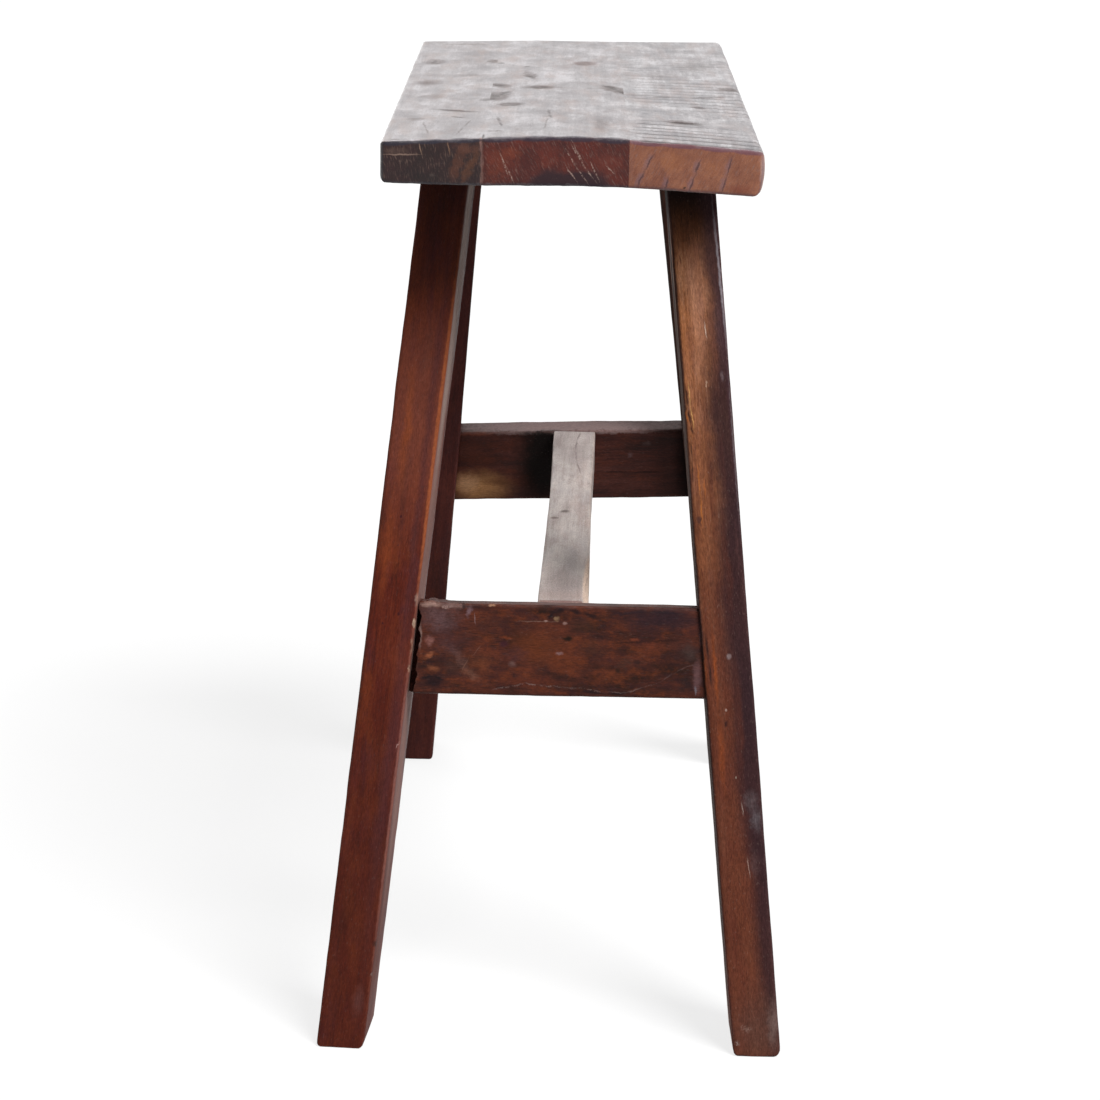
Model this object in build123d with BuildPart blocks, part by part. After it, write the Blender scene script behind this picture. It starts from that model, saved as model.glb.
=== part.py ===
from build123d import *

import os
from dataclasses import dataclass
from math import atan2, cos, sin

os.makedirs("parts", exist_ok=True)

# Wooden bench: a crowned seat of three edge-joined boards on four legs that splay both ways,
# a stretcher across each pair of legs, and a rail between the two stretchers.
# Millimetres, +Z up. X runs across the bench and Y along it, from the near end to the far end.
# The origin is on the floor, in the middle of the four feet.

# Seat boards
seat_length = 581.0
seat_height = 613.0  # floor to the top of the seat's long edges
seat_offset = -4.8  # the seat stands this far to the left of the feet's middle
left_board_width = 64.5
middle_board_width = 93.5
right_board_width = 85.0
left_edge_thickness = 26.7
right_edge_thickness = 29.1
near_crown = 6.0  # the top's rise above its long edges
far_crown = 2.3
near_tilt = 0.9  # the left edge's rise above the seat's height, and the right edge's drop
far_tilt = -2.1
near_under_hollow = 2.7  # the underside's rise above its long edges
far_under_hollow = 1.5
seat_arris_round = 2.5
worn_arris_round = 5.0  # under the right edge
right_edge_undercut = 1.8
right_edge_bulge = 2.0

# Dowels in the seat's two glue joints
dowel_diameter = 8.0
dowel_length = 30.0
dowel_chamfer = 1.0
dowel_drop = 13.0  # below the seat's height
outer_dowel_share = 0.4  # of the leg's inset from the seat's end
inner_dowel_share = 0.5  # of the leg's distance from the seat's middle

# Legs
leg_width = 32.2
leg_depth = 46.8
leg_arris_round = 1.5
near_foot_half_spread = 140.6
far_foot_half_spread = 138.0
leg_top_half_spread = 79.0
leg_top_offset = -1.0  # the leg tops' middle stands to the left of the seat's
foot_overhang = 1.0  # the foot's centre beyond the seat's end
leg_top_inset = 110.0  # the leg top's centre inside the seat's end
near_feet_offset = -6.5  # the near feet's middle, left of the bench's
far_feet_offset = 10.1
near_left_turn = -4.2  # degrees about the leg's own length
leg_housing_depth = 3.0  # into the underside at its left edge
leg_tenon_width = 18.0
leg_tenon_depth = 32.0
leg_tenon_length = 14.0

# Stretchers
stretcher_height = 61.5
stretcher_thickness = 21.5
stretcher_setback = 3.0  # behind the legs' outer faces
stretcher_arris_round = 1.2
near_stretcher_level = 295.4  # top edge above the floor
far_stretcher_level = 301.5
near_stretcher_slope = 0.0  # degrees, rising to the right
far_stretcher_slope = 2.1
stretcher_tenon_thickness = 10.0
stretcher_tenon_height = 44.0
stretcher_tenon_length = 20.0
loose_shoulder_gap = 1.3  # where the near stretcher has drawn out of its left leg

# Rail
rail_width = 34.5
rail_thickness = 28.0
rail_offset = 2.1  # to the right of each frame's middle
rail_wane_width = 5.2  # bark side left on the top right arris at the near end
rail_wane_depth = 9.0
rail_wane_length = 95.0
rail_tenon_width = 22.0
rail_tenon_height = 14.0
rail_tenon_length = 12.0

# Fits
joint_clearance = 0.15

# Outlines as shares of the sizes above: place across the seat, then share of the rise
near_crown_shares = ((0, 0), (0.27, 0.58), (0.49, 1), (0.68, 0.84), (0.83, 0.48), (1, 0))
far_crown_shares = ((0, 0), (0.2, 0.75), (0.35, 1), (0.6, 0.45), (1, 0))
hollow_shares = ((0, 0), (0.27, 0.26), (0.6, 1), (0.83, 0.5), (1, 0))
# Place along the rail's blank, then share of its width on either side of its middle line
rail_left_shares = ((0, 0.505), (0.32, 0.47), (0.58, 0.452), (0.8, 0.47), (0.88, 0.485), (1, 0.48))
rail_right_shares = ((0, 0.505), (0.32, 0.49), (0.58, 0.478), (0.8, 0.49), (1, 0.505))

LEFT, RIGHT = -1, 1
seat_width = left_board_width + middle_board_width + right_board_width
seat_left = seat_offset - seat_width / 2
left_joint = seat_left + left_board_width
right_joint = left_joint + middle_board_width
half_length = seat_length / 2
shoulder_height = seat_height - left_edge_thickness + leg_housing_depth
leg_top_middle = seat_offset + leg_top_offset
leg_top_y = half_length - leg_top_inset
foot_y = half_length + foot_overhang
end_splay = atan2(foot_y - leg_top_y, shoulder_height)
stretcher_outset = leg_depth / 2 - stretcher_setback - stretcher_thickness / 2


@dataclass(frozen=True)
class End:
    """What differs between the bench's near end (way -1) and its far end (way +1)."""

    name: str
    way: int
    feet_offset: float
    foot_half_spread: float
    tilt: float
    crown: float
    crown_shares: tuple
    under_hollow: float
    level: float
    slope: float


near = End(
    "near", -1, near_feet_offset, near_foot_half_spread, near_tilt, near_crown, near_crown_shares,
    near_under_hollow, near_stretcher_level, near_stretcher_slope,
)
far = End(
    "far", 1, far_feet_offset, far_foot_half_spread, far_tilt, far_crown, far_crown_shares,
    far_under_hollow, far_stretcher_level, far_stretcher_slope,
)


def leg_plane(side, end):
    """The plane square to a leg at its foot's centre: X across the bench, Y along it, Z up the leg."""
    foot = Vector(end.feet_offset + side * end.foot_half_spread, end.way * foot_y, 0)
    top = Vector(leg_top_middle + side * leg_top_half_spread, end.way * leg_top_y, shoulder_height)
    axis = (top - foot).normalized()
    along = axis.cross(Vector(1, 0, 0)).normalized()
    return Plane(origin=foot, x_dir=along.cross(axis), z_dir=axis)


def stock_plane(side, end):
    """The leg's plane as its stock really stands: the near left leg is turned about its length."""
    turn = near_left_turn if (side, end.way) == (LEFT, near.way) else 0
    return leg_plane(side, end).moved(Location((0, 0, 0), (0, 0, turn)))


def leg_form(side, end, clearance):
    """A leg from its foot's centre to the top of its tenon, or with a clearance the socket it needs."""
    plane = stock_plane(side, end)
    with BuildPart() as form:
        with BuildSketch(plane.offset(-leg_depth)):
            Rectangle(leg_width + 2 * clearance, leg_depth + 2 * clearance)
        extrude(amount=seat_height + leg_depth)
        if clearance == 0:
            fillet(form.edges().filter_by(Axis(plane.origin, plane.z_dir)), leg_arris_round)
        split(bisect_by=Plane.XY.offset(shoulder_height), keep=Keep.BOTTOM)
        with BuildSketch(plane):
            Rectangle(leg_tenon_width + 2 * clearance, leg_tenon_depth + 2 * clearance)
        extrude(amount=seat_height + leg_depth)
        split(
            bisect_by=Plane.XY.offset(shoulder_height + leg_tenon_length + clearance),
            keep=Keep.BOTTOM,
        )
    return form.part


def stretcher_plane(end):
    """A stretcher's middle plane: origin at the middle of its top edge, X along it, Y up the splay."""
    up = Vector(0, -end.way * sin(end_splay), cos(end_splay))
    outwards = Vector(0, end.way * cos(end_splay), sin(end_splay))
    rise = end.level / shoulder_height
    across = end.feet_offset + (leg_top_middle - end.feet_offset) * rise
    middle = Vector(across, end.way * foot_y, 0) + up * (end.level / cos(end_splay))
    origin = middle + outwards * stretcher_outset
    level_plane = Plane(origin=origin, x_dir=(1, 0, 0), z_dir=Vector(1, 0, 0).cross(up))
    return level_plane.moved(Location((0, 0, 0), (0, 0, end.slope)))


def shoulder_plane(side, end, gap):
    """The plane of a leg's inner face moved off by a gap, facing the other leg."""
    plane = leg_plane(side, end)
    origin = plane.from_local_coords((-side * (leg_width / 2 + gap), 0, 0))
    return Plane(origin=origin, x_dir=plane.z_dir, z_dir=plane.x_dir * -side)


def stretcher_tenons(end, clearance):
    """The bar whose two ends are a stretcher's tenons, or with a clearance their mortises."""
    with BuildPart() as bar:
        with BuildSketch(stretcher_plane(end)):
            with Locations((0, -stretcher_height / 2)):
                Rectangle(2 * end.foot_half_spread, stretcher_tenon_height + 2 * clearance)
        extrude(amount=stretcher_tenon_thickness / 2 + clearance, both=True)
        for side in (LEFT, RIGHT):
            tenon_end = shoulder_plane(side, end, -stretcher_tenon_length - clearance)
            split(bisect_by=tenon_end, keep=Keep.TOP)
    return bar.part


def rail_seat_plane(end):
    """The plane where the rail's shoulder meets a stretcher: origin on the top arris, Z into the stretcher."""
    plane = stretcher_plane(end)
    origin = plane.from_local_coords((rail_offset, 0, end.way * stretcher_thickness / 2))
    return Plane(origin=origin, x_dir=plane.x_dir * -end.way, z_dir=plane.z_dir * -end.way)


def rail_tenon(end, clearance):
    """The rail's tenon at one end, or with a clearance the mortise it needs."""
    with BuildPart() as tenon:
        with BuildSketch(rail_seat_plane(end).offset(-rail_tenon_length)):
            with Locations((0, -rail_thickness / 2)):
                Rectangle(rail_tenon_width + 2 * clearance, rail_tenon_height + 2 * clearance)
        extrude(amount=2 * rail_tenon_length + clearance)
    return tenon.part


def make_leg(side, end):
    """A splayed leg with a level-cut foot, a shouldered tenon at the top and the stretcher's mortise."""
    form = leg_form(side, end, 0)
    mortise = stretcher_tenons(end, joint_clearance)
    with BuildPart() as leg:
        add(form)
        split(bisect_by=Plane.XY, keep=Keep.TOP)
        add(mortise, mode=Mode.SUBTRACT)
    return leg.part


def make_stretcher(end):
    """A stretcher between one pair of legs, its shoulders cut to the splay, with the rail's mortise."""
    plane = stretcher_plane(end)
    tenons = stretcher_tenons(end, 0)
    mortise = rail_tenon(end, joint_clearance)
    with BuildPart() as stretcher:
        with BuildSketch(plane):
            Rectangle(2 * end.foot_half_spread, stretcher_height, align=(Align.CENTER, Align.MAX))
        extrude(amount=stretcher_thickness / 2, both=True)
        fillet(stretcher.edges().filter_by(Axis(plane.origin, plane.x_dir)), stretcher_arris_round)
        for side in (LEFT, RIGHT):
            loose = (side, end.way) == (LEFT, near.way)
            split(bisect_by=shoulder_plane(side, end, loose_shoulder_gap if loose else 0), keep=Keep.TOP)
        add(tenons)
        add(mortise, mode=Mode.SUBTRACT)
    return stretcher.part


def make_rail():
    """The waney rail, flush with the stretchers' top arrises and tenoned into both."""
    start = rail_seat_plane(near).origin
    finish = rail_seat_plane(far).origin
    along = (finish - start).normalized()
    across = along.cross(Vector(0, 0, 1)).normalized()
    overrun = stretcher_thickness
    blank_length = (finish - start).length + 2 * overrun
    plane = Plane(origin=start - along * overrun, x_dir=across, z_dir=across.cross(along))
    right_edge = rail_width * rail_right_shares[0][1]
    wane = [
        plane.from_local_coords(corner)
        for corner in (
            (right_edge - rail_wane_width, overrun, 0),
            (right_edge, overrun, -rail_wane_depth),
            (right_edge, overrun + rail_wane_length, 0),
        )
    ]
    wane_out = (wane[1] - wane[0]).cross(wane[2] - wane[0]).normalized()
    tenons = [rail_tenon(end, 0) for end in (near, far)]
    with BuildPart() as rail:
        with BuildSketch(plane):
            with BuildLine():
                left = Spline(*[(-rail_width * half, blank_length * place) for place, half in rail_left_shares])
                right = Spline(*[(rail_width * half, blank_length * place) for place, half in rail_right_shares])
                Line(left @ 0, right @ 0)
                Line(left @ 1, right @ 1)
            make_face()
        extrude(amount=-rail_thickness)
        split(bisect_by=Plane(origin=wane[0], z_dir=wane_out), keep=Keep.BOTTOM)
        for end in (near, far):
            split(bisect_by=rail_seat_plane(end), keep=Keep.BOTTOM)
        for tenon in tenons:
            add(tenon)
    return rail.part


def make_dowels(joint):
    """The dowels across one glue joint, or cut away from its boards with their clearance."""
    places = (half_length - outer_dowel_share * leg_top_inset, inner_dowel_share * leg_top_y)
    centres = [(joint, way * place, seat_height - dowel_drop) for place in places for way in (-1, 1)]
    with BuildPart() as dowels:
        with Locations([Location(centre, (0, 90, 0)) for centre in centres]):
            Cylinder(dowel_diameter / 2, dowel_length)
        chamfer(dowels.edges().filter_by(GeomType.CIRCLE), dowel_chamfer)
    with BuildPart() as holes:
        with Locations([Location(centre, (0, 90, 0)) for centre in centres]):
            Cylinder(dowel_diameter / 2 + joint_clearance, dowel_length + 2 * dowel_chamfer)
    return dowels.part, holes.part


def runs_along(edge):
    """Whether an edge goes from one end of the seat towards the other."""
    return abs((edge @ 1 - edge @ 0).Y) > half_length


def make_seat_blank():
    """The whole seat before it is parted into boards, lofted from its near section to its far one."""
    with BuildPart() as blank:
        for end in (near, far):
            top = [
                (seat_left + share * seat_width, seat_height + end.tilt * (1 - 2 * share) + end.crown * rise)
                for share, rise in end.crown_shares
            ]
            under = [
                (
                    seat_left + share * (seat_width - right_edge_undercut),
                    seat_height + end.tilt * (1 - 2 * share) + end.under_hollow * rise
                    - left_edge_thickness - (right_edge_thickness - left_edge_thickness) * share,
                )
                for share, rise in hollow_shares
            ]
            with BuildSketch(Plane.XZ.offset(-end.way * half_length)):
                with BuildLine():
                    Spline(*top)
                    SagittaArc(top[-1], under[-1], right_edge_bulge)
                    Spline(*under)
                    Line(under[0], top[0])
                make_face()
        loft(ruled=True)
        arrises = blank.edges().filter_by(runs_along).sort_by(Axis.Z)
        fillet(arrises[1:], seat_arris_round)
        arrises = blank.edges().filter_by(runs_along).sort_by(Axis.Z)
        fillet(arrises[0:1], worn_arris_round)
    return blank.part


def make_seat_board(blank, left_cut, right_cut, cutters):
    """One board of the seat: the blank between two joint planes, with its sockets and dowel holes."""
    with BuildPart() as board:
        add(blank)
        if left_cut is not None:
            split(bisect_by=Plane.YZ.offset(left_cut), keep=Keep.TOP)
        if right_cut is not None:
            split(bisect_by=Plane.YZ.offset(right_cut), keep=Keep.BOTTOM)
        for cutter in cutters:
            add(cutter, mode=Mode.SUBTRACT)
    return board.part


pieces = {}
for end in (near, far):
    for side, side_name in ((LEFT, "left"), (RIGHT, "right")):
        pieces[f"leg_{end.name}_{side_name}"] = make_leg(side, end)
    pieces[f"stretcher_{end.name}"] = make_stretcher(end)
pieces["centre_rail"] = make_rail()

sockets = [leg_form(side, end, joint_clearance) for end in (near, far) for side in (LEFT, RIGHT)]
pieces["seat_dowels_left"], left_holes = make_dowels(left_joint)
pieces["seat_dowels_right"], right_holes = make_dowels(right_joint)
seat_blank = make_seat_blank()
cutters = [*sockets, left_holes, right_holes]
pieces["seat_board_left"] = make_seat_board(seat_blank, None, left_joint, cutters)
pieces["seat_board_middle"] = make_seat_board(seat_blank, left_joint, right_joint, cutters)
pieces["seat_board_right"] = make_seat_board(seat_blank, right_joint, None, cutters)

for name, piece in pieces.items():
    piece.label = name
    export_step(piece, f"parts/{name}.step")
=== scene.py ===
"""Looks of the wooden bench: three seat boards, four splayed legs, two stretchers and a waney rail.

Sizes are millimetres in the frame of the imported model: the floor is at zero, X runs across the bench,
Y along it from the near end to the far end, and Z up. A timber is worked in its own frame, where the
first axis is its width, the second its depth and the third its grain, and is then laid in place in metres.
"""

from __future__ import annotations

import logging
import math
from dataclasses import dataclass, field
from enum import Enum

import bmesh
import bpy
import numpy as np
from mathutils import Matrix, Vector

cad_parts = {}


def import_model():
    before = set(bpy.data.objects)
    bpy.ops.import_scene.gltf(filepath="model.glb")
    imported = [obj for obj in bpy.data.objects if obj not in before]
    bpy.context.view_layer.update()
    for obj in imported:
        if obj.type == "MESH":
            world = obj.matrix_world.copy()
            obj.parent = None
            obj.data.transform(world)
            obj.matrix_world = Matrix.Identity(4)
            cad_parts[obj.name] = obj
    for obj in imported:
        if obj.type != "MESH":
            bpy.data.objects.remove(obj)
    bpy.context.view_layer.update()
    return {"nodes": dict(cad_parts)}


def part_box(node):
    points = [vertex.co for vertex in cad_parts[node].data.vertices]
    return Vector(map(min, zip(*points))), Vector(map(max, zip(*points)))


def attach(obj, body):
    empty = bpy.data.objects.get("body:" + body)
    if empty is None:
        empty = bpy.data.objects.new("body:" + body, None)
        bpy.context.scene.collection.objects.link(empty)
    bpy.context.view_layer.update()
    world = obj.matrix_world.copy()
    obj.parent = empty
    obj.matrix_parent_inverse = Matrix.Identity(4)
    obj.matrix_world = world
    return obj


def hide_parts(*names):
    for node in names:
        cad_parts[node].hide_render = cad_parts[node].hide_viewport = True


Triple = tuple[float, float, float]
Curve = tuple[tuple[float, float], ...]  # places and the values there
Array = np.ndarray
Tree = bpy.types.NodeTree
Source = bpy.types.NodeSocket | bpy.types.Node  # a node stands for the output it has in use

LOG = logging.getLogger("bench")
MM = 0.001
RIGHT_WAY = Vector((1, 0, 0))
UP = Vector((0, 0, 1))
WHITE = (1.0, 1.0, 1.0, 1.0)

# Node settings that come up again and again. A mix of colours has its share at input 0 and its colours at
# inputs 6 and 7.
COLOURS = {"data_type": "RGBA"}
SMOOTH = {"interpolation_type": "SMOOTHSTEP"}
ADDING = {"operation": "MULTIPLY_ADD"}

# Looks that many marks share: how soft their edges are, and how far and in which way those wander.
SMEAR = {"soft": 0.9, "loose": 3.0}
SHADE = {"soft": 0.9, "loose": 6.0, "broad": True}
HAZE = {"soft": 0.9, "loose": 5.0, "broad": True}
DRIFT = {"soft": 0.95, "loose": 5.0, "broad": True}
DUSTY = {"loose": 1.6, "dusty": True}

# How many features of each pattern lie on a millimetre: across, through and along the grain.
# Real pores are 0.2 mm wide, too fine to show in the render. They are drawn 0.9 mm wide and 8 mm long.
PORES_PER_MM = (1.1, 1.1, 0.13)
# The tiniest specks of dirt in the grain, 0.8 mm wide and 3 mm long.
SPECKS_PER_MM = (1.3, 1.3, 0.32)
# Grains of pale dust caught in the pits, 1.1 mm wide and 3.3 mm long; real dust is too fine to show.
DUST_PER_MM = (0.9, 0.9, 0.3)
# A saw leaves scores on an end, about a millimetre apart and some millimetres long.
SCORE_SIZE = (5.5, 1.2, 2.0)
SCRATCHES_PER_SCORE = 1.3
# Blots on an end are about 14 mm wide, as the stain soaks in there unevenly.
END_BLOTS_PER_MM = 0.07
# A mark's outline wanders by waves of 5 mm, or of 29 mm where it is broad.
WANDERS_PER_MM = (0.2, 0.035)
# A dusty mark breaks up into crumbs of 1.3 mm and a patchy one into blots of 6 mm.
CRUMBS_PER_MM = 0.8
BLOTS_PER_MM = 0.16
# An arris is rubbed bare in patches of about 7 mm.
SCUFFS_PER_MM = 0.15
# A wave texture's rings lie 0.314 apart at scale 1. Along the trunk they are drawn out.
RING_SCALE = 0.314
RING_TAPER = 0.06
# The relief of grain and pores: less than half a millimetre.
RELIEF = 0.3


class Side(Enum):
    """Which side of the bench a piece stands on."""

    LEFT = -1
    RIGHT = 1


class Face(Enum):
    """The faces of a timber that a mark lies on, by the local axis that they look along."""

    NARROW = 0
    BROAD = 1
    END = 2


def linear(code: str) -> tuple[float, float, float, float]:
    """Turns an sRGB colour to the linear one that Blender's sockets take.

    Args:
        code: Six hexadecimal digits.

    Returns:
        Red, green, blue and an alpha of one.
    """
    shares = [int(code[place : place + 2], 16) / 255 for place in (0, 2, 4)]
    dark_part = 0.04045  # below this sRGB is a straight line
    return *(s / 12.92 if s <= dark_part else ((s + 0.055) / 1.055) ** 2.4 for s in shares), 1.0


def add_node(
    tree: Tree, kind: str, inputs: dict[str | int, object] | None = None, **settings: str
) -> bpy.types.Node:
    """Adds a node with its settings, and sets or links its inputs.

    Args:
        tree: The tree to add to.
        kind: The node's type name, without ShaderNode in front.
        inputs: Values, colours or sources by the input's name or number.
        settings: The node's own properties.

    Returns:
        The new node.
    """
    node = tree.nodes.new("ShaderNode" + kind)
    for name, value in settings.items():
        setattr(node, name, value)
    for key, value in (inputs or {}).items():
        if isinstance(value, bpy.types.Node):
            value = next(output for output in value.outputs if output.enabled)
        if isinstance(value, bpy.types.NodeSocket):
            tree.links.new(value, node.inputs[key])
        else:
            node.inputs[key].default_value = linear(value) if isinstance(value, str) else value
    return node


def empty_tree(owner: bpy.types.Material | bpy.types.World) -> Tree:
    """Turns the nodes of a material or world on, and clears them.

    Args:
        owner: The material or world.

    Returns:
        Its empty tree.
    """
    owner.use_nodes = True
    owner.node_tree.nodes.clear()
    return owner.node_tree


def spline(curve: Curve, at: Array) -> Array:
    """Reads a natural cubic spline through a few points.

    Args:
        curve: Where the points lie, rising, and the curve's value at each of them.
        at: Where to read the curve.

    Returns:
        The curve's values.
    """
    x, y = np.array(curve, float).T
    gap, count = np.diff(x), len(x)
    system, right = np.eye(count), np.zeros(count)
    for row in range(1, count - 1):
        system[row, row - 1 : row + 2] = gap[row - 1], 2 * (gap[row - 1] + gap[row]), gap[row]
        right[row] = 6 * ((y[row + 1] - y[row]) / gap[row] - (y[row] - y[row - 1]) / gap[row - 1])
    bend = np.linalg.solve(system, right)
    low = np.clip(np.searchsorted(x, at) - 1, 0, count - 2)
    step, after, before = gap[low], x[low + 1] - at, at - x[low]
    curved = (bend[low] * after**3 + bend[low + 1] * before**3) / (6 * step)
    ends = (y[low] / step - bend[low] * step / 6) * after
    ends = ends + (y[low + 1] / step - bend[low + 1] * step / 6) * before
    return curved + ends


def ripple(seed: int, at: Array, longest: float, shortest: float) -> Array:
    """A smooth uneven line between about -1 and 1, the same on each run.

    Args:
        seed: Which line.
        at: Where to read it, in millimetres.
        longest: The longest wave.
        shortest: The shortest wave.

    Returns:
        The line's values.
    """
    random = np.random.default_rng(seed)
    lengths = np.geomspace(longest, shortest, 5) * random.uniform(0.85, 1.15, 5)
    phases, weights = random.uniform(0, 2 * np.pi, 5), np.geomspace(1, 0.4, 5)
    usual_peak = 1.9
    waves = (w * np.sin(2 * np.pi * at / length + p) for w, length, p in zip(weights, lengths, phases))
    return sum(waves) / usual_peak


@dataclass(frozen=True)
class Stand:
    """Where a timber stands: its origin and the three axes of its own frame."""

    origin: Vector
    across: Vector
    depth: Vector
    along: Vector

    def turned(self, degrees: float) -> Stand:
        """The same stand turned about the timber's own length."""
        turn = Matrix.Rotation(math.radians(degrees), 3, self.along)
        return Stand(self.origin, turn @ self.across, turn @ self.depth, self.along)

    def point(self, across: float, depth: float, along: float) -> Vector:
        """A point given in the timber's own frame."""
        return self.origin + self.across * across + self.depth * depth + self.along * along

    def basis(self) -> Array:
        """The three axes as the rows of an array."""
        return np.array([self.across, self.depth, self.along], float)

    def lay(self, local: Array) -> Array:
        """Takes places in the timber's own frame to the bench's."""
        return local @ self.basis() + np.array(self.origin, float)

    def turn(self) -> Triple:
        """The frame's turn as Euler angles."""
        return tuple(Matrix((self.across, self.depth, self.along)).transposed().to_euler())


@dataclass(frozen=True)
class Mark:
    """A knot, gouge, scratch, stain or worn patch, placed in the timber's own millimetres.

    Its outline wanders by `loose` millimetres: by short waves, or by long ones where it is broad. A dusty
    mark is broken up into crumbs, and a patchy one into blots. `soft` is the share of its reach over which
    it fades, and `dent` is how many millimetres it is pressed in.
    """

    place: Triple
    reach: Triple
    colour: str
    strength: float = 0.8
    turn: float = 0.0
    face: Face = Face.BROAD
    soft: float = 0.7
    dent: float = 0.0
    loose: float = 2.0
    broad: bool = False
    patchy: bool = False
    dusty: bool = False


Marks = tuple[Mark, ...]


@dataclass(frozen=True)
class Plane:
    """A face that marks are laid on: where it lies on the axis it looks along, and how deep a mark reaches.

    Places and reaches are given across and along it on a side, and across and up on an end.
    """

    level: float
    face: Face = Face.BROAD
    into: float = 5.0

    def spot(
        self, place: tuple[float, float], reach: tuple[float, float], colour: str, strength: float = 0.8,
        turn: float = 0.0, into: float | None = None, **looks: float,
    ) -> Mark:
        """Lays one mark.

        Args:
            place: Its middle on the face.
            reach: How far it reaches on the face.
            colour: Its colour.
            strength: How much it covers.
            turn: Its turn on the face, in degrees.
            into: How deep it reaches, if not as usual.
            looks: Other values of the mark.

        Returns:
            The mark.
        """
        axis, deep = self.face.value, self.into if into is None else into
        place, reach = (*place[:axis], self.level, *place[axis:]), (*reach[:axis], deep, *reach[axis:])
        return Mark(place, reach, colour, strength, turn, self.face, **looks)

    def line(
        self, points: list[tuple[float, float]], width: float, colour: str, strength: float = 0.8,
        **looks: float,
    ) -> Marks:
        """Lays a crack, scratch or dark line as marks, one for each of its runs.

        Args:
            points: Its corners.
            width: Half of its width.
            colour: Its colour.
            strength: How much it covers.
            looks: Other values of the marks.

        Returns:
            The marks.
        """
        overlap = 1.4
        looks = {"loose": 0.8, "soft": 0.8, **looks}
        marks = []
        for (a, b), (c, d) in zip(points, points[1:]):
            middle, half = ((a + c) / 2, (b + d) / 2), math.hypot(c - a, d - b) / 2 * overlap
            if self.face is Face.BROAD:
                reach, turn, into = (width, half), math.atan2(c - a, d - b), 6.0
            else:
                reach, turn, into = (half, width), math.atan2(d - b, c - a), 8.0
            marks.append(self.spot(middle, reach, colour, strength, math.degrees(turn), into, **looks))
        return tuple(marks)


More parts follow.
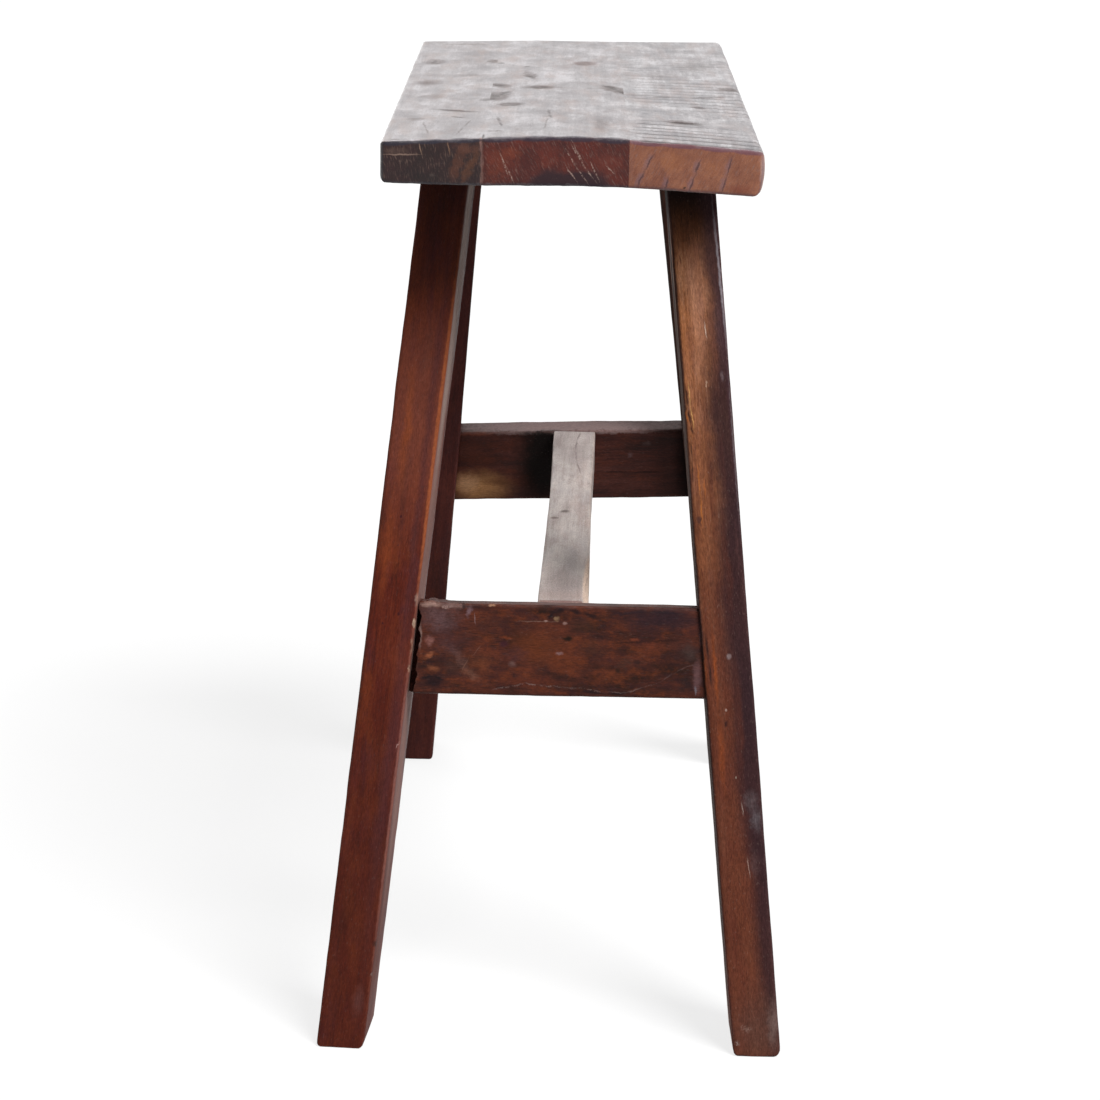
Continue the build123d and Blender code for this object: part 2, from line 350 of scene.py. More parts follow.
@dataclass(frozen=True)
class TimberFinish:
    """Stained solid hardwood, planed by hand and worn.

    The eye gets fine fibre and longer streaks along the grain, faint growth rings that cut through the whole
    timber, short dark pores, stain that has gone on unevenly, pale dust in the pits and rubbed arrises.
    Lacquer worn thin leaves a dull gloss: an IOR of 1.5, roughness near 0.46, and hardly any sheen.
    """

    name: str
    dark: str
    middle: str
    light: str
    warm: str
    cool: str
    arris: str
    end_dark: str = "3A2220"
    end_light: str = "5A3630"
    end_turn: float = 0.0  # how far the saw's scores on an end are turned, in degrees
    worn_and_sheen_top_only: bool = False  # the flanks keep the darker stain of the ends; the top's pale palette is partly wear and partly a painted sheen
    rim: str = "34303A"
    fibre: float = 1.0  # mm wide: bundles of fibres, as single ones are too fine to show
    streak: float = 5.0  # mm wide
    cloud: float = 24.0  # mm wide: the timber's lighter and darker areas
    stretch: Triple = (30.0, 26.0, 3.2)  # how many times longer than wide those three are
    ring_width: float = 7.0  # mm from one growth ring to the next, as a quick-grown tree has
    pith: tuple[float, float] = (-70.0, 45.0)  # the trunk's middle, in mm from the timber's own
    spread: Triple = (0.06, 0.06, 0.017)  # clouds of stain per mm: 17 mm wide and 60 mm long
    warm_share: float = 0.6
    cool_share: float = 0.5
    pore_strength: float = 0.5
    arris_strength: float = 0.5
    rim_strength: float = 0.0
    dust: str = "A89C98"
    dust_strength: float = 0.3
    roughness: float = 0.46
    rough_swing: float = 0.07
    specular: float = 0.1
    sheen: float = 0.0
    speckle: float = 0.16  # how far the specks darken and lighten
    # the colour of the painted shade in the hollows of dents and saw furrows
    hollow_shade: str = "241A18"
    marks: Marks = ()

    def material(self, stand: Stand) -> bpy.types.Material:
        """Builds the finish for one timber.

        Args:
            stand: The timber's own frame, which its grain follows.

        Returns:
            The material.
        """
        material = bpy.data.materials.new(self.name)
        tree = empty_tree(material)
        coordinates = add_node(tree, "TexCoord")
        normal = coordinates.outputs["Normal"]
        local = add_node(
            tree, "Mapping",
            {
                "Vector": coordinates.outputs["Object"], "Location": stand.origin * MM,
                "Rotation": stand.turn(), "Scale": (MM, MM, MM),
            },
            vector_type="TEXTURE",
        )
        facing = add_node(tree, "VectorMath", {0: normal, 1: stand.along}, operation="DOT_PRODUCT")
        square = add_node(tree, "Math", {0: facing}, operation="ABSOLUTE")
        cut = add_node(tree, "MapRange", {"Value": square, "From Min": 0.5, "From Max": 0.8}, **SMOOTH)
        tone, pores = self.grain(tree, local)
        colour = self.stain(tree, local, tone, pores)
        # Only the top keeps the pale palette, partly wear and partly a painted sheen.
        if self.worn_and_sheen_top_only:
            colour = self.flanks(tree, normal, stand, tone, colour)
        colour = self.end_grain(tree, local, colour, cut)
        colour, dull = self.lay_marks(tree, local, colour)
        colour, dull = self.wear(tree, local, colour, dull, cut)
        colour = self.specks(tree, local, colour)
        self.surface(tree, colour, dull, tone, pores)
        return material

    def grain(self, tree: Tree, local: Source) -> tuple[Source, Source]:
        """Adds the grain's tone and its pores.

        Args:
            tree: The material's tree.
            local: The place in the timber, in mm.

        Returns:
            The tone from dark to light, and how much each place is a pore.
        """
        layers, widths = [], (self.fibre, self.streak, self.cloud)
        for width, stretch, roughness in zip(widths, self.stretch, (0.6, 0.65, 0.62)):
            drawn = add_node(
                tree, "Mapping", {"Vector": local, "Scale": (1 / width, 1 / width, 1 / (width * stretch))}
            )
            noise = add_node(
                tree, "TexNoise",
                {"Vector": drawn, "Scale": 1.0, "Detail": 5.0, "Roughness": roughness, "Distortion": 0.25},
            )
            layers.append(noise)
        heart = add_node(
            tree, "Mapping",
            {"Vector": local, "Location": (-self.pith[0], -self.pith[1], 0), "Scale": (1, 1, RING_TAPER)},
        )
        rings = add_node(
            tree, "TexWave",
            {
                "Vector": heart, "Scale": RING_SCALE / self.ring_width, "Distortion": 11.0, "Detail": 4.0,
                "Detail Scale": 0.6, "Detail Roughness": 0.6,
            },
            wave_type="RINGS", rings_direction="Z", wave_profile="SIN",
        )
        ringed = add_node(tree, "Mix", {"Factor": 0.1, "A": layers[1], "B": rings.outputs["Fac"]})
        lines = add_node(tree, "Mix", {"Factor": 0.4, "A": ringed, "B": layers[0]})
        tone = add_node(tree, "Mix", {"Factor": 0.5, "A": lines, "B": layers[2]})
        dashes = add_node(tree, "Mapping", {"Vector": local, "Scale": PORES_PER_MM})
        pits = add_node(tree, "TexNoise", {"Vector": dashes, "Scale": 1.0, "Detail": 2.0, "Roughness": 0.5})
        pores = add_node(tree, "MapRange", {"Value": pits, "From Min": 0.6, "From Max": 0.72}, **SMOOTH)
        return tone, pores

    def stain(self, tree: Tree, local: Source, tone: Source, pores: Source) -> Source:
        """Adds the stain's colours over the grain.

        Args:
            tree: The material's tree.
            local: The place in the timber, in mm.
            tone: The grain's tone.
            pores: How much each place is a pore.

        Returns:
            The colour.
        """
        ramp = add_node(tree, "ValToRGB", {"Fac": tone})
        stops = ramp.color_ramp.elements
        stops[0].position, stops[0].color = 0.4, linear(self.dark)
        stops[1].position, stops[1].color = 0.6, linear(self.light)
        stops.new(0.5).color = linear(self.middle)
        colour = ramp
        for number, (tint, most) in enumerate(((self.warm, self.warm_share), (self.cool, self.cool_share))):
            apart = (31.0 * number + self.cloud, 17.0 * number, 5.0)
            drawn = add_node(tree, "Mapping", {"Vector": local, "Scale": self.spread, "Location": apart})
            cloud = add_node(
                tree, "TexNoise", {"Vector": drawn, "Scale": 1.0, "Detail": 7.0, "Roughness": 0.72}
            )
            share = add_node(
                tree, "MapRange",
                {"Value": cloud, "From Min": 0.46, "From Max": 0.66, "To Max": most}, **SMOOTH,
            )
            colour = add_node(tree, "Mix", {0: share, 6: colour, 7: tint}, **COLOURS)
        pored = add_node(tree, "Math", {0: pores, 1: self.pore_strength}, operation="MULTIPLY")
        return add_node(tree, "Mix", {0: pored, 6: colour, 7: self.dark}, **COLOURS)

    def flanks(self, tree: Tree, normal: Source, stand: Stand, tone: Source, colour: Source) -> Source:
        """Gives the flanks and the underside the darker stain of the ends: only the top is pale, partly
        rubbed and partly a painted sheen.

        Args:
            tree: The material's tree.
            normal: The surface's normal.
            stand: The timber's own frame.
            tone: The grain's tone.
            colour: The colour so far.

        Returns:
            The colour.
        """
        upwards = add_node(tree, "VectorMath", {0: normal, 1: stand.depth}, operation="DOT_PRODUCT")
        flank = add_node(tree, "MapRange", {"Value": upwards, "From Min": 0.4, "From Max": 0.15}, **SMOOTH)
        drawn = add_node(tree, "MapRange", {"Value": tone, "From Min": 0.4, "From Max": 0.6})
        kept = add_node(tree, "Mix", {0: drawn, 6: self.end_dark, 7: self.end_light}, **COLOURS)
        return add_node(tree, "Mix", {0: flank, 6: colour, 7: kept}, **COLOURS)

    def end_grain(self, tree: Tree, local: Source, colour: Source, cut: Source) -> Source:
        """Adds the darker, speckled colour of the cut ends, scored by the saw.

        Args:
            tree: The material's tree.
            local: The place in the timber, in mm.
            colour: The colour so far.
            cut: How much each place is a cut end.

        Returns:
            The colour.
        """
        scored = add_node(
            tree, "Mapping",
            {"Vector": local, "Rotation": (0, 0, math.radians(self.end_turn)), "Scale": SCORE_SIZE},
            vector_type="TEXTURE",
        )
        speck = add_node(tree, "TexNoise", {"Vector": scored, "Scale": 1.0, "Detail": 5.0, "Roughness": 0.75})
        scores = add_node(tree, "TexNoise", {"Vector": scored, "Scale": SCRATCHES_PER_SCORE, "Detail": 3.0})
        scratched = add_node(
            tree, "MapRange", {"Value": scores, "From Min": 0.54, "From Max": 0.8, "To Max": 0.5}
        )
        blotch = add_node(
            tree, "TexNoise", {"Vector": local, "Scale": END_BLOTS_PER_MM, "Detail": 5.0, "Roughness": 0.6}
        )
        both = add_node(tree, "Mix", {"Factor": 0.5, "A": speck, "B": blotch})
        share = add_node(tree, "MapRange", {"Value": both, "From Min": 0.38, "From Max": 0.62})
        cross = add_node(tree, "Mix", {0: share, 6: self.end_dark, 7: self.end_light}, **COLOURS)
        cross = add_node(tree, "Mix", {0: scratched, 6: cross, 7: self.warm}, **COLOURS)
        return add_node(tree, "Mix", {0: cut, 6: colour, 7: cross}, **COLOURS)

    def lay_marks(self, tree: Tree, local: Source, colour: Source) -> tuple[Source, Source | float]:
        """Adds the marks, their outlines broken up by a short and a long warp.

        Each mark is worked out in vectors to its last step. A timber with many marks mixed from points and
        vectors needs more of the render's working memory than there is, and turns black.

        Args:
            tree: The material's tree.
            local: The place in the timber, in mm.
            colour: The colour so far.

        Returns:
            The colour, and how much of each place a mark covers.
        """
        warps = []
        for scale in WANDERS_PER_MM:
            noise = add_node(
                tree, "TexNoise", {"Vector": local, "Scale": scale, "Detail": 6.0, "Roughness": 0.68}
            ).outputs["Color"]
            warp = add_node(tree, "VectorMath", {0: noise, 1: (-0.5, -0.5, -0.5)}, operation="ADD")
            warps.append(warp)
        crumbs = add_node(
            tree, "TexNoise", {"Vector": local, "Scale": CRUMBS_PER_MM, "Detail": 3.0, "Roughness": 0.7}
        )
        crumbled = add_node(tree, "MapRange", {"Value": crumbs, "From Min": 0.42, "From Max": 0.58})
        blots = add_node(
            tree, "TexNoise", {"Vector": local, "Scale": BLOTS_PER_MM, "Detail": 6.0, "Roughness": 0.75}
        )
        patchy = add_node(
            tree, "MapRange",
            {"Value": blots, "From Min": 0.36, "From Max": 0.6, "To Min": 0.45, "To Max": 1.0},
        )
        noise_swing = 2.5  # makes up for a noise that seldom leaves the middle of its range
        dull = 0.0
        for mark in self.marks:
            wander = [noise_swing * mark.loose] * 3
            spot = add_node(tree, "VectorMath", {0: warps[mark.broad], 1: wander, 2: local}, **ADDING)
            if mark.turn:
                spot = add_node(
                    tree, "VectorRotate",
                    {"Vector": spot, "Center": mark.place, "Angle": -math.radians(mark.turn)},
                    rotation_type="XYZ"[mark.face.value] + "_AXIS",
                )
            shares = [1 / reach for reach in mark.reach]
            middle = [-place * share for place, share in zip(mark.place, shares)]
            inside = add_node(tree, "VectorMath", {0: spot, 1: shares, 2: middle}, **ADDING)
            far = add_node(tree, "VectorMath", {0: inside}, operation="LENGTH")
            share = add_node(
                tree, "MapRange",
                {
                    "Value": far, "From Min": 1.0, "From Max": 1.0 - mark.soft,
                    "To Max": mark.strength,
                },
                **SMOOTH,
            )
            if mark.dusty or mark.patchy:
                broken = {0: share, 1: crumbled if mark.dusty else patchy}
                share = add_node(tree, "Math", broken, operation="MULTIPLY")
            colour = add_node(tree, "Mix", {0: share, 6: colour, 7: mark.colour}, **COLOURS)
            dull = add_node(tree, "Math", {0: dull, 1: share}, operation="MAXIMUM")
        return colour, dull

    def wear(
        self, tree: Tree, local: Source, colour: Source, dull: Source | float, cut: Source
    ) -> tuple[Source, Source]:
        """Adds the painted shade in the hollows, the rubbed arrises, the rims of the ends and the dust.

        Args:
            tree: The material's tree.
            local: The place in the timber, in mm.
            colour: The colour so far.
            dull: How dull each place is so far.
            cut: How much each place is a cut end.

        Returns:
            The colour, and how dull each place is.
        """
        hollow = add_node(tree, "Attribute", attribute_name="hollow").outputs["Fac"]
        # Painted shade: the hollows of dents and saw furrows are darkened.
        hollow_shade = add_node(tree, "Math", {0: hollow, 1: 0.9}, operation="MULTIPLY")
        colour = add_node(tree, "Mix", {0: hollow_shade, 6: colour, 7: self.hollow_shade}, **COLOURS)
        dull = add_node(tree, "Math", {0: dull, 1: hollow}, operation="MAXIMUM")
        edge = add_node(tree, "Attribute", attribute_name="arris").outputs["Fac"]
        scuff = add_node(
            tree, "TexNoise", {"Vector": local, "Scale": SCUFFS_PER_MM, "Detail": 5.0, "Roughness": 0.7}
        )
        near = add_node(tree, "Math", {0: scuff, 1: -6.0, 2: edge}, **ADDING)
        rubbed = add_node(
            tree, "MapRange",
            {"Value": near, "From Min": -1.4, "From Max": -3.2, "To Max": self.arris_strength}, **SMOOTH,
        )
        colour = add_node(tree, "Mix", {0: rubbed, 6: colour, 7: self.arris}, **COLOURS)
        close = add_node(
            tree, "MapRange",
            {"Value": edge, "From Min": 2.2, "From Max": 1.0, "To Max": self.rim_strength}, **SMOOTH,
        )
        rimmed = add_node(tree, "Math", {0: close, 1: cut}, operation="MULTIPLY")
        colour = add_node(tree, "Mix", {0: rimmed, 6: colour, 7: self.rim}, **COLOURS)
        drawn = add_node(tree, "Mapping", {"Vector": local, "Scale": DUST_PER_MM})
        flecks = add_node(tree, "TexNoise", {"Vector": drawn, "Scale": 1.0, "Detail": 3.0, "Roughness": 0.7})
        grains = add_node(
            tree, "MapRange",
            {"Value": flecks, "From Min": 0.6, "From Max": 0.8, "To Max": self.dust_strength},
        )
        colour = add_node(tree, "Mix", {0: grains, 6: colour, 7: self.dust}, **COLOURS)
        return colour, dull

    def specks(self, tree: Tree, local: Source, colour: Source) -> Source:
        """Lightens and darkens the colour by the tiniest specks.

        Args:
            tree: The material's tree.
            local: The place in the timber, in mm.
            colour: The colour so far.

        Returns:
            The colour.
        """
        short = add_node(tree, "Mapping", {"Vector": local, "Scale": SPECKS_PER_MM})
        speck = add_node(tree, "TexNoise", {"Vector": short, "Scale": 1.0, "Detail": 4.0, "Roughness": 0.75})
        swing = 1.6 * self.speckle
        shade = add_node(
            tree, "MapRange",
            {
                "Value": speck, "From Min": 0.35, "From Max": 0.65,
                "To Min": 1.0 - swing, "To Max": 1.0 + swing,
            },
        )
        return add_node(tree, "VectorMath", {0: colour, "Scale": shade}, operation="SCALE")

    def surface(self, tree: Tree, colour: Source, dull: Source, tone: Source, pores: Source) -> None:
        """Adds the gloss, which marks and dirt take away, the relief of the grain and the output.

        Args:
            tree: The material's tree.
            colour: The colour.
            dull: How dull each place is.
            tone: The grain's tone.
            pores: How much each place is a pore.
        """
        rough = add_node(
            tree, "MapRange",
            {
                "Value": tone, "From Min": 0.35, "From Max": 0.65,
                "To Min": self.roughness + self.rough_swing, "To Max": self.roughness - self.rough_swing,
            },
        )
        duller = add_node(tree, "Mix", {"Factor": dull, "A": rough, "B": 0.8})
        height = add_node(tree, "Math", {0: pores, 1: -0.6, 2: tone}, **ADDING)
        bump = add_node(tree, "Bump", {"Strength": 0.5, "Distance": RELIEF * MM, "Height": height})
        shader = add_node(
            tree, "BsdfPrincipled",
            {
                "Base Color": colour, "Roughness": duller, "Normal": bump, "IOR": 1.5,
                "Specular IOR Level": self.specular, "Sheen Weight": self.sheen, "Sheen Roughness": 0.35,
            },
        )
        add_node(tree, "OutputMaterial", {"Surface": shader})


@dataclass
class Timber:
    """One squared timber, modelled with fine even cells and laid in its stand."""

    name: str
    node: str
    slot: str
    size: Triple
    stand: Stand
    finish: TimberFinish
    seed: int
    cell: float = 2.2
    cell_along: float = 3.0
    uneven: float = 0.14
    saw_round: float = 0.8
    arris_round: float = 1.9
    arris_swing: float = 0.3
    end_round: float = 0.4
    glued_sides: tuple[int, ...] = ()
    far_in: float = 20.0  # further from an arris than any wear reaches

    def radii(self, points: Array) -> tuple[Array, Array, Array]:
        """How round each arris is at each vertex.

        Args:
            points: The blank's vertices.

        Returns:
            Radii of the arrises along the timber, and of the end arrises on its narrow and broad faces.
        """
        corner = np.sign(points[:, 0]) * 2 + np.sign(points[:, 1])
        worn = np.zeros(len(points))
        for quarter in (-3, -1, 1, 3):
            wander = ripple(self.seed + 10 + quarter, points[:, 2], longest=260, shortest=22)
            worn += (corner == quarter) * (1 + self.arris_swing * wander)
        worn = np.where(worn == 0, 1.0, worn)
        ends = np.full(len(points), self.end_round)
        return self.arris_round * worn, ends, ends

    def saw(self) -> bpy.types.Object:
        """Saws the blank: a cube drawn to size, its arrises bevelled and its faces cut into even cells.

        Returns:
            The blank, centred, in metres.
        """
        bpy.ops.object.select_all(action="DESELECT")
        bpy.ops.mesh.primitive_cube_add(size=1.0, location=(0, 0, 0))
        blank = bpy.context.object
        blank.name = blank.data.name = self.name
        bpy.ops.object.mode_set(mode="EDIT")
        bpy.ops.mesh.select_mode(type="EDGE")
        bpy.ops.mesh.select_all(action="SELECT")
        bpy.ops.transform.resize(value=[length * MM for length in self.size])
        self.select_arrises(blank)
        bpy.ops.mesh.bevel(offset=self.saw_round * MM, segments=2, affect="EDGES")
        # The operator makes about a hundred cuts at most, so a long side takes two goes.
        most, first = 90, 10
        cells = [max(1, round(self.size[axis] / self.cell)) for axis in (0, 1)]
        cells.append(round(self.size[2] / self.cell_along))
        for axis, count in enumerate(cells):
            for parts in (count,) if count < most else (first, round(count / first)):
                self.select_runs(blank, axis)
                bpy.ops.mesh.subdivide(number_cuts=parts - 1)
        bpy.ops.object.mode_set(mode="OBJECT")
        return blank

    def select_arrises(self, blank: bpy.types.Object) -> None:
        """Selects the arrises that are taken off: all of them, but those of a glued joint on a board.

        Args:
            blank: The blank, in edit mode.
        """
        mesh = bmesh.from_edit_mesh(blank.data)
        near_side = 0.4 * self.size[0] * MM
        for edge in mesh.edges:
            middle = (edge.verts[0].co + edge.verts[1].co) / 2
            edge.select_set(not any(middle.x * side > near_side for side in self.glued_sides))
        bmesh.update_edit_mesh(blank.data)

    def select_runs(self, blank: bpy.types.Object, axis: int) -> None:
        """Selects the edges that run along one axis, but not the short ones in the rounded corners.

        Args:
            blank: The blank, in edit mode.
            axis: Which axis.
        """
        bpy.ops.mesh.select_all(action="DESELECT")
        mesh = bmesh.from_edit_mesh(blank.data)
        straight, shortest = 0.999, 1.1 * self.saw_round * MM
        for edge in mesh.edges:
            run = edge.verts[1].co - edge.verts[0].co
            edge.select_set(abs(run[axis]) > straight * run.length and run.length > shortest)
        bmesh.update_edit_mesh(blank.data)

    def ease(self, points: Array) -> tuple[Array, Array]:
        """Rounds the arrises off.

        Args:
            points: The blank's vertices, centred.

        Returns:
            The eased vertices, and how far each was from the nearest arris.
        """
        pairs = ((0, 1), (0, 2), (1, 2))
        half = np.array(self.size) / 2
        inner = np.maximum(half - np.abs(points), 0)
        open_inner = inner.copy()
        for side in self.glued_sides:
            open_inner[points[:, 0] * side > 0, 0] = self.far_in
        edge = np.minimum.reduce([np.maximum(open_inner[:, a], open_inner[:, b]) for a, b in pairs])
        for (a, b), radius in zip(pairs, self.radii(points)):
            reach_a, reach_b = radius - inner[:, a], radius - inner[:, b]
            span = np.hypot(reach_a, reach_b)
            cut = (reach_a > 0) & (reach_b > 0) & (span > radius)
            scale = np.where(cut, radius / np.maximum(span, 1e-9), 1.0)
            inner[:, a] = np.where(cut, radius - reach_a * scale, inner[:, a])
            inner[:, b] = np.where(cut, radius - reach_b * scale, inner[:, b])
        return np.sign(points) * (half - inner), np.clip(edge, 0, self.far_in)

    def weather(self, points: Array) -> Array:
        """Makes the faces as uneven as hand planing leaves them: in long waves, with shorter ones on them.

        Args:
            points: The eased vertices, centred.

        Returns:
            The uneven vertices.
        """
        moved = points.copy()
        for axis, other in ((0, 1), (1, 0)):
            side = np.sign(points[:, axis])
            half = self.size[axis] / 2
            for way in (-1, 1):
                seed = self.seed + 3 * axis + way
                line = points[:, 2] + 0.35 * points[:, other]
                slant = line - 1.1 * points[:, other]
                waves = ripple(seed, line, longest=310, shortest=60)
                lift = waves + 0.35 * ripple(seed + 40, slant, longest=46, shortest=12)
                free = (side == way) & (axis == 1 or way not in self.glued_sides)
                moved[:, axis] += np.where(free, points[:, axis] / half * lift * self.uneven, 0)
        return moved

    def lay(self, points: Array) -> Array:
        """Takes the worked vertices to their place on the bench.

        Args:
            points: The vertices in the timber's own frame, centred.

        Returns:
            Their places on the bench.
        """
        raise NotImplementedError

    def press_marks(self, local: Array) -> Array:
        """How deep the marks with a dent press into the surface.

        Args:
            local: The vertices in the frame that the marks are placed in.

        Returns:
            The shift of each vertex in that frame.
        """
        shift = np.zeros_like(local)
        for mark in self.finish.marks:
            if not mark.dent:
                continue
            axis = mark.face.value
            first, second = (axis + 1) % 3, (axis + 2) % 3
            angle = math.radians(mark.turn)
            offset = local - np.array(mark.place)
            run = offset[:, first] * math.cos(angle) + offset[:, second] * math.sin(angle)
            rise = -offset[:, first] * math.sin(angle) + offset[:, second] * math.cos(angle)
            far = (run / mark.reach[first]) ** 2 + (rise / mark.reach[second]) ** 2
            near = np.abs(offset[:, axis]) < mark.reach[axis]
            inwards = -np.sign(mark.place[axis]) if mark.face is not Face.BROAD else self.inwards(mark)
            shift[:, axis] += np.where(near & (far < 1), mark.dent * (1 - far) ** 2 * inwards, 0)
        return shift

    def inwards(self, mark: Mark) -> float:
        """Which way along the depth is into the wood at a mark on a broad face."""
        return -math.copysign(1, mark.place[1])

    def sawn_hollow(self, placed: Array) -> Array:
        """How much of a saw's furrow each vertex lies in; most timbers have none."""
        return np.zeros(len(placed))

    def make(self) -> bpy.types.Object:
        """Models the timber, dresses it and sets it in the place of its CAD node.

        Returns:
            The finished piece.
        """
        blank = self.saw()
        mesh = blank.data
        points = np.zeros(len(mesh.vertices) * 3)
        mesh.vertices.foreach_get("co", points)
        points, edge = self.ease(points.reshape(-1, 3) / MM)
        placed = self.lay(self.weather(points))
        basis, origin = self.stand.basis(), np.array(self.stand.origin, float)
        press = self.press_marks((placed - origin) @ basis.T)
        placed = placed + press @ basis
        full_dent = 0.8
        hollow = np.clip(np.abs(press).sum(1) / full_dent + self.sawn_hollow(placed), 0, 1)
        mesh.vertices.foreach_set("co", (placed * MM).astype(np.float32).ravel())
        for name, values in (("arris", edge), ("hollow", hollow)):
            layer = mesh.attributes.new(name, "FLOAT", "POINT")
            layer.data.foreach_set("value", values.astype(np.float32))
        mesh.update()
        bpy.ops.object.mode_set(mode="EDIT")
        bpy.ops.mesh.select_all(action="SELECT")
        bpy.ops.mesh.normals_make_consistent(inside=False)
        bpy.ops.object.mode_set(mode="OBJECT")
        bpy.ops.object.shade_smooth_by_angle(angle=math.radians(40))
        mesh.materials.clear()
        mesh.materials.append(self.finish.material(self.stand))
        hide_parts(self.node)
        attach(blank, "root")
        low, high = placed.min(0), placed.max(0)
        cad_low, cad_high = (np.array(corner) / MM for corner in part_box(self.node))
        LOG.info(
            "%s: %d faces, off its CAD box by %s and %s mm", self.name, len(mesh.polygons),
            np.round(low - cad_low, 1), np.round(high - cad_high, 1),
        )
        return blank


@dataclass(frozen=True)
class End:
    """What differs between the bench's near end (way -1) and its far end (way +1).

    `level` is how high the stretcher's top edge lies, and `slope` by how many degrees it rises to the right.
    """

    way: int
    feet_offset: float
    foot_half_spread: float
    level: float
    slope: float


@dataclass(frozen=True)
class Frame:
    """The sizes that the legs, stretchers and rail share, and the stands that follow from them."""

    seat_length: float = 581.0
    seat_height: float = 613.0
    seat_offset: float = -4.8
    left_edge_thickness: float = 26.7
    leg_width: float = 32.2
    leg_depth: float = 46.8
    leg_top_half_spread: float = 79.0
    leg_top_offset: float = -1.0
    foot_overhang: float = 1.0
    leg_top_inset: float = 110.0
    housing_depth: float = 3.0
    near_left_turn: float = -4.2
    stretcher_height: float = 61.5
    stretcher_thickness: float = 21.5
    stretcher_setback: float = 3.0
    rail_offset: float = 2.1
    near: End = End(way=-1, feet_offset=-6.5, foot_half_spread=140.6, level=295.4, slope=0.0)
    far: End = End(way=1, feet_offset=10.1, foot_half_spread=138.0, level=301.5, slope=2.1)

    @property
    def half_length(self) -> float:
        """Half of the seat's length."""
        return self.seat_length / 2

    @property
    def shoulder_height(self) -> float:
        """How high the legs' shoulders stand, let into the seat."""
        return self.seat_height - self.left_edge_thickness + self.housing_depth

    @property
    def foot_y(self) -> float:
        """How far the feet stand from the bench's middle."""
        return self.half_length + self.foot_overhang

    @property
    def splay(self) -> float:
        """How far the frames lean inwards, as an angle."""
        return math.atan2(self.leg_top_inset + self.foot_overhang, self.shoulder_height)

    def leg_stand(self, side: Side, end: End) -> Stand:
        """The frame of a leg, at its foot's centre.

        Args:
            side: Which side it stands on.
            end: Which end it stands at.

        Returns:
            The frame.
        """
        foot = Vector((end.feet_offset + side.value * end.foot_half_spread, end.way * self.foot_y, 0))
        middle = self.seat_offset + self.leg_top_offset
        top_x = middle + side.value * self.leg_top_half_spread
        top = Vector((top_x, end.way * (self.half_length - self.leg_top_inset), self.shoulder_height))
        axis = (top - foot).normalized()
        depth = axis.cross(RIGHT_WAY).normalized()
        return Stand(foot, depth.cross(axis), depth, axis)

    def stretcher_stand(self, end: End) -> Stand:
        """The frame of a stretcher, at the middle of its top edge: width upwards, grain to the right.

        Args:
            end: Which end it stands at.

        Returns:
            The frame.
        """
        upwards = Vector((0, -end.way * math.sin(self.splay), math.cos(self.splay)))
        outwards = Vector((0, end.way * math.cos(self.splay), math.sin(self.splay)))
        rise = end.level / self.shoulder_height
        middle = self.seat_offset + self.leg_top_offset
        across = end.feet_offset + (middle - end.feet_offset) * rise
        origin = Vector((across, end.way * self.foot_y, 0)) + upwards * (end.level / math.cos(self.splay))
        origin += outwards * (self.leg_depth / 2 - self.stretcher_setback - self.stretcher_thickness / 2)
        slope = math.radians(end.slope)
        along = RIGHT_WAY * math.cos(slope) + upwards * math.sin(slope)
        width = upwards * math.cos(slope) - RIGHT_WAY * math.sin(slope)
        return Stand(origin, width, RIGHT_WAY.cross(upwards), along)

    def rail_seat(self, end: End) -> Vector:
        """Where the middle of the rail's top meets a stretcher's arris."""
        return self.stretcher_stand(end).point(0, end.way * self.stretcher_thickness / 2, self.rail_offset)


def along_to(points: Array, stand: Stand, through: Vector, normal: Vector) -> Array:
    """How far along a timber a plane cuts the line of each vertex.

    Args:
        points: Vertices in the timber's own frame.
        stand: The timber's frame.
        through: A point of the plane.
        normal: The plane's normal.

    Returns:
        The place along the timber for each vertex.
    """
    start = (through - stand.origin).dot(normal)
    lean = points[:, 0] * stand.across.dot(normal) + points[:, 1] * stand.depth.dot(normal)
    return (start - lean) / stand.along.dot(normal)


@dataclass
class Leg(Timber):
    """A leg, cut level at the floor and let into the seat at its top."""

    top_height: float = 0.0
    foot_rounds: tuple[float, float] = (3.4, 3.4)
    foot_front_round: float = 1.1
    drawn_together: float = 0.6  # how much shorter the last cells are
    drawn_over: float = 12.0

    def radii(self, points: Array) -> tuple[Array, Array, Array]:
        """How round each arris is at each vertex: the foot's are worn most.

        Args:
            points: The blank's vertices.

        Returns:
            Radii of the arrises along the leg, and of the end arrises on its narrow and broad faces.
        """
        along, _, _ = super().radii(points)
        rounds = np.where(points[:, 0] < 0, *self.foot_rounds)
        chipped = self.arris_swing * ripple(self.seed + 4, points[:, 0], longest=60, shortest=9)
        return along, rounds, self.foot_front_round + chipped

    def ease(self, points: Array) -> tuple[Array, Array]:
        """Draws the cells together at the foot, and rounds the arrises off.

        Args:
            points: The blank's vertices, centred.

        Returns:
            The eased vertices, and how far each was from the nearest arris.
        """
        drawn = points.copy()
        inner = self.size[2] / 2 - np.abs(points[:, 2])
        inner = inner * (1 - self.drawn_together * np.exp(-inner / self.drawn_over))
        drawn[:, 2] = np.sign(points[:, 2]) * (self.size[2] / 2 - inner)
        return super().ease(drawn)

    def lay(self, points: Array) -> Array:
        """Takes the worked vertices to their place on the bench.

        Args:
            points: The vertices in the timber's own frame, centred.

        Returns:
            Their places on the bench.
        """
        share = points[:, 2] / self.size[2] + 0.5
        foot = along_to(points, self.stand, Vector((0, 0, 0)), UP)
        top = along_to(points, self.stand, Vector((0, 0, self.top_height)), UP)
        placed = self.stand.lay(np.column_stack([points[:, 0], points[:, 1], foot + share * (top - foot)]))
        placed[:, 2] = np.maximum(placed[:, 2], 0)
        return placed


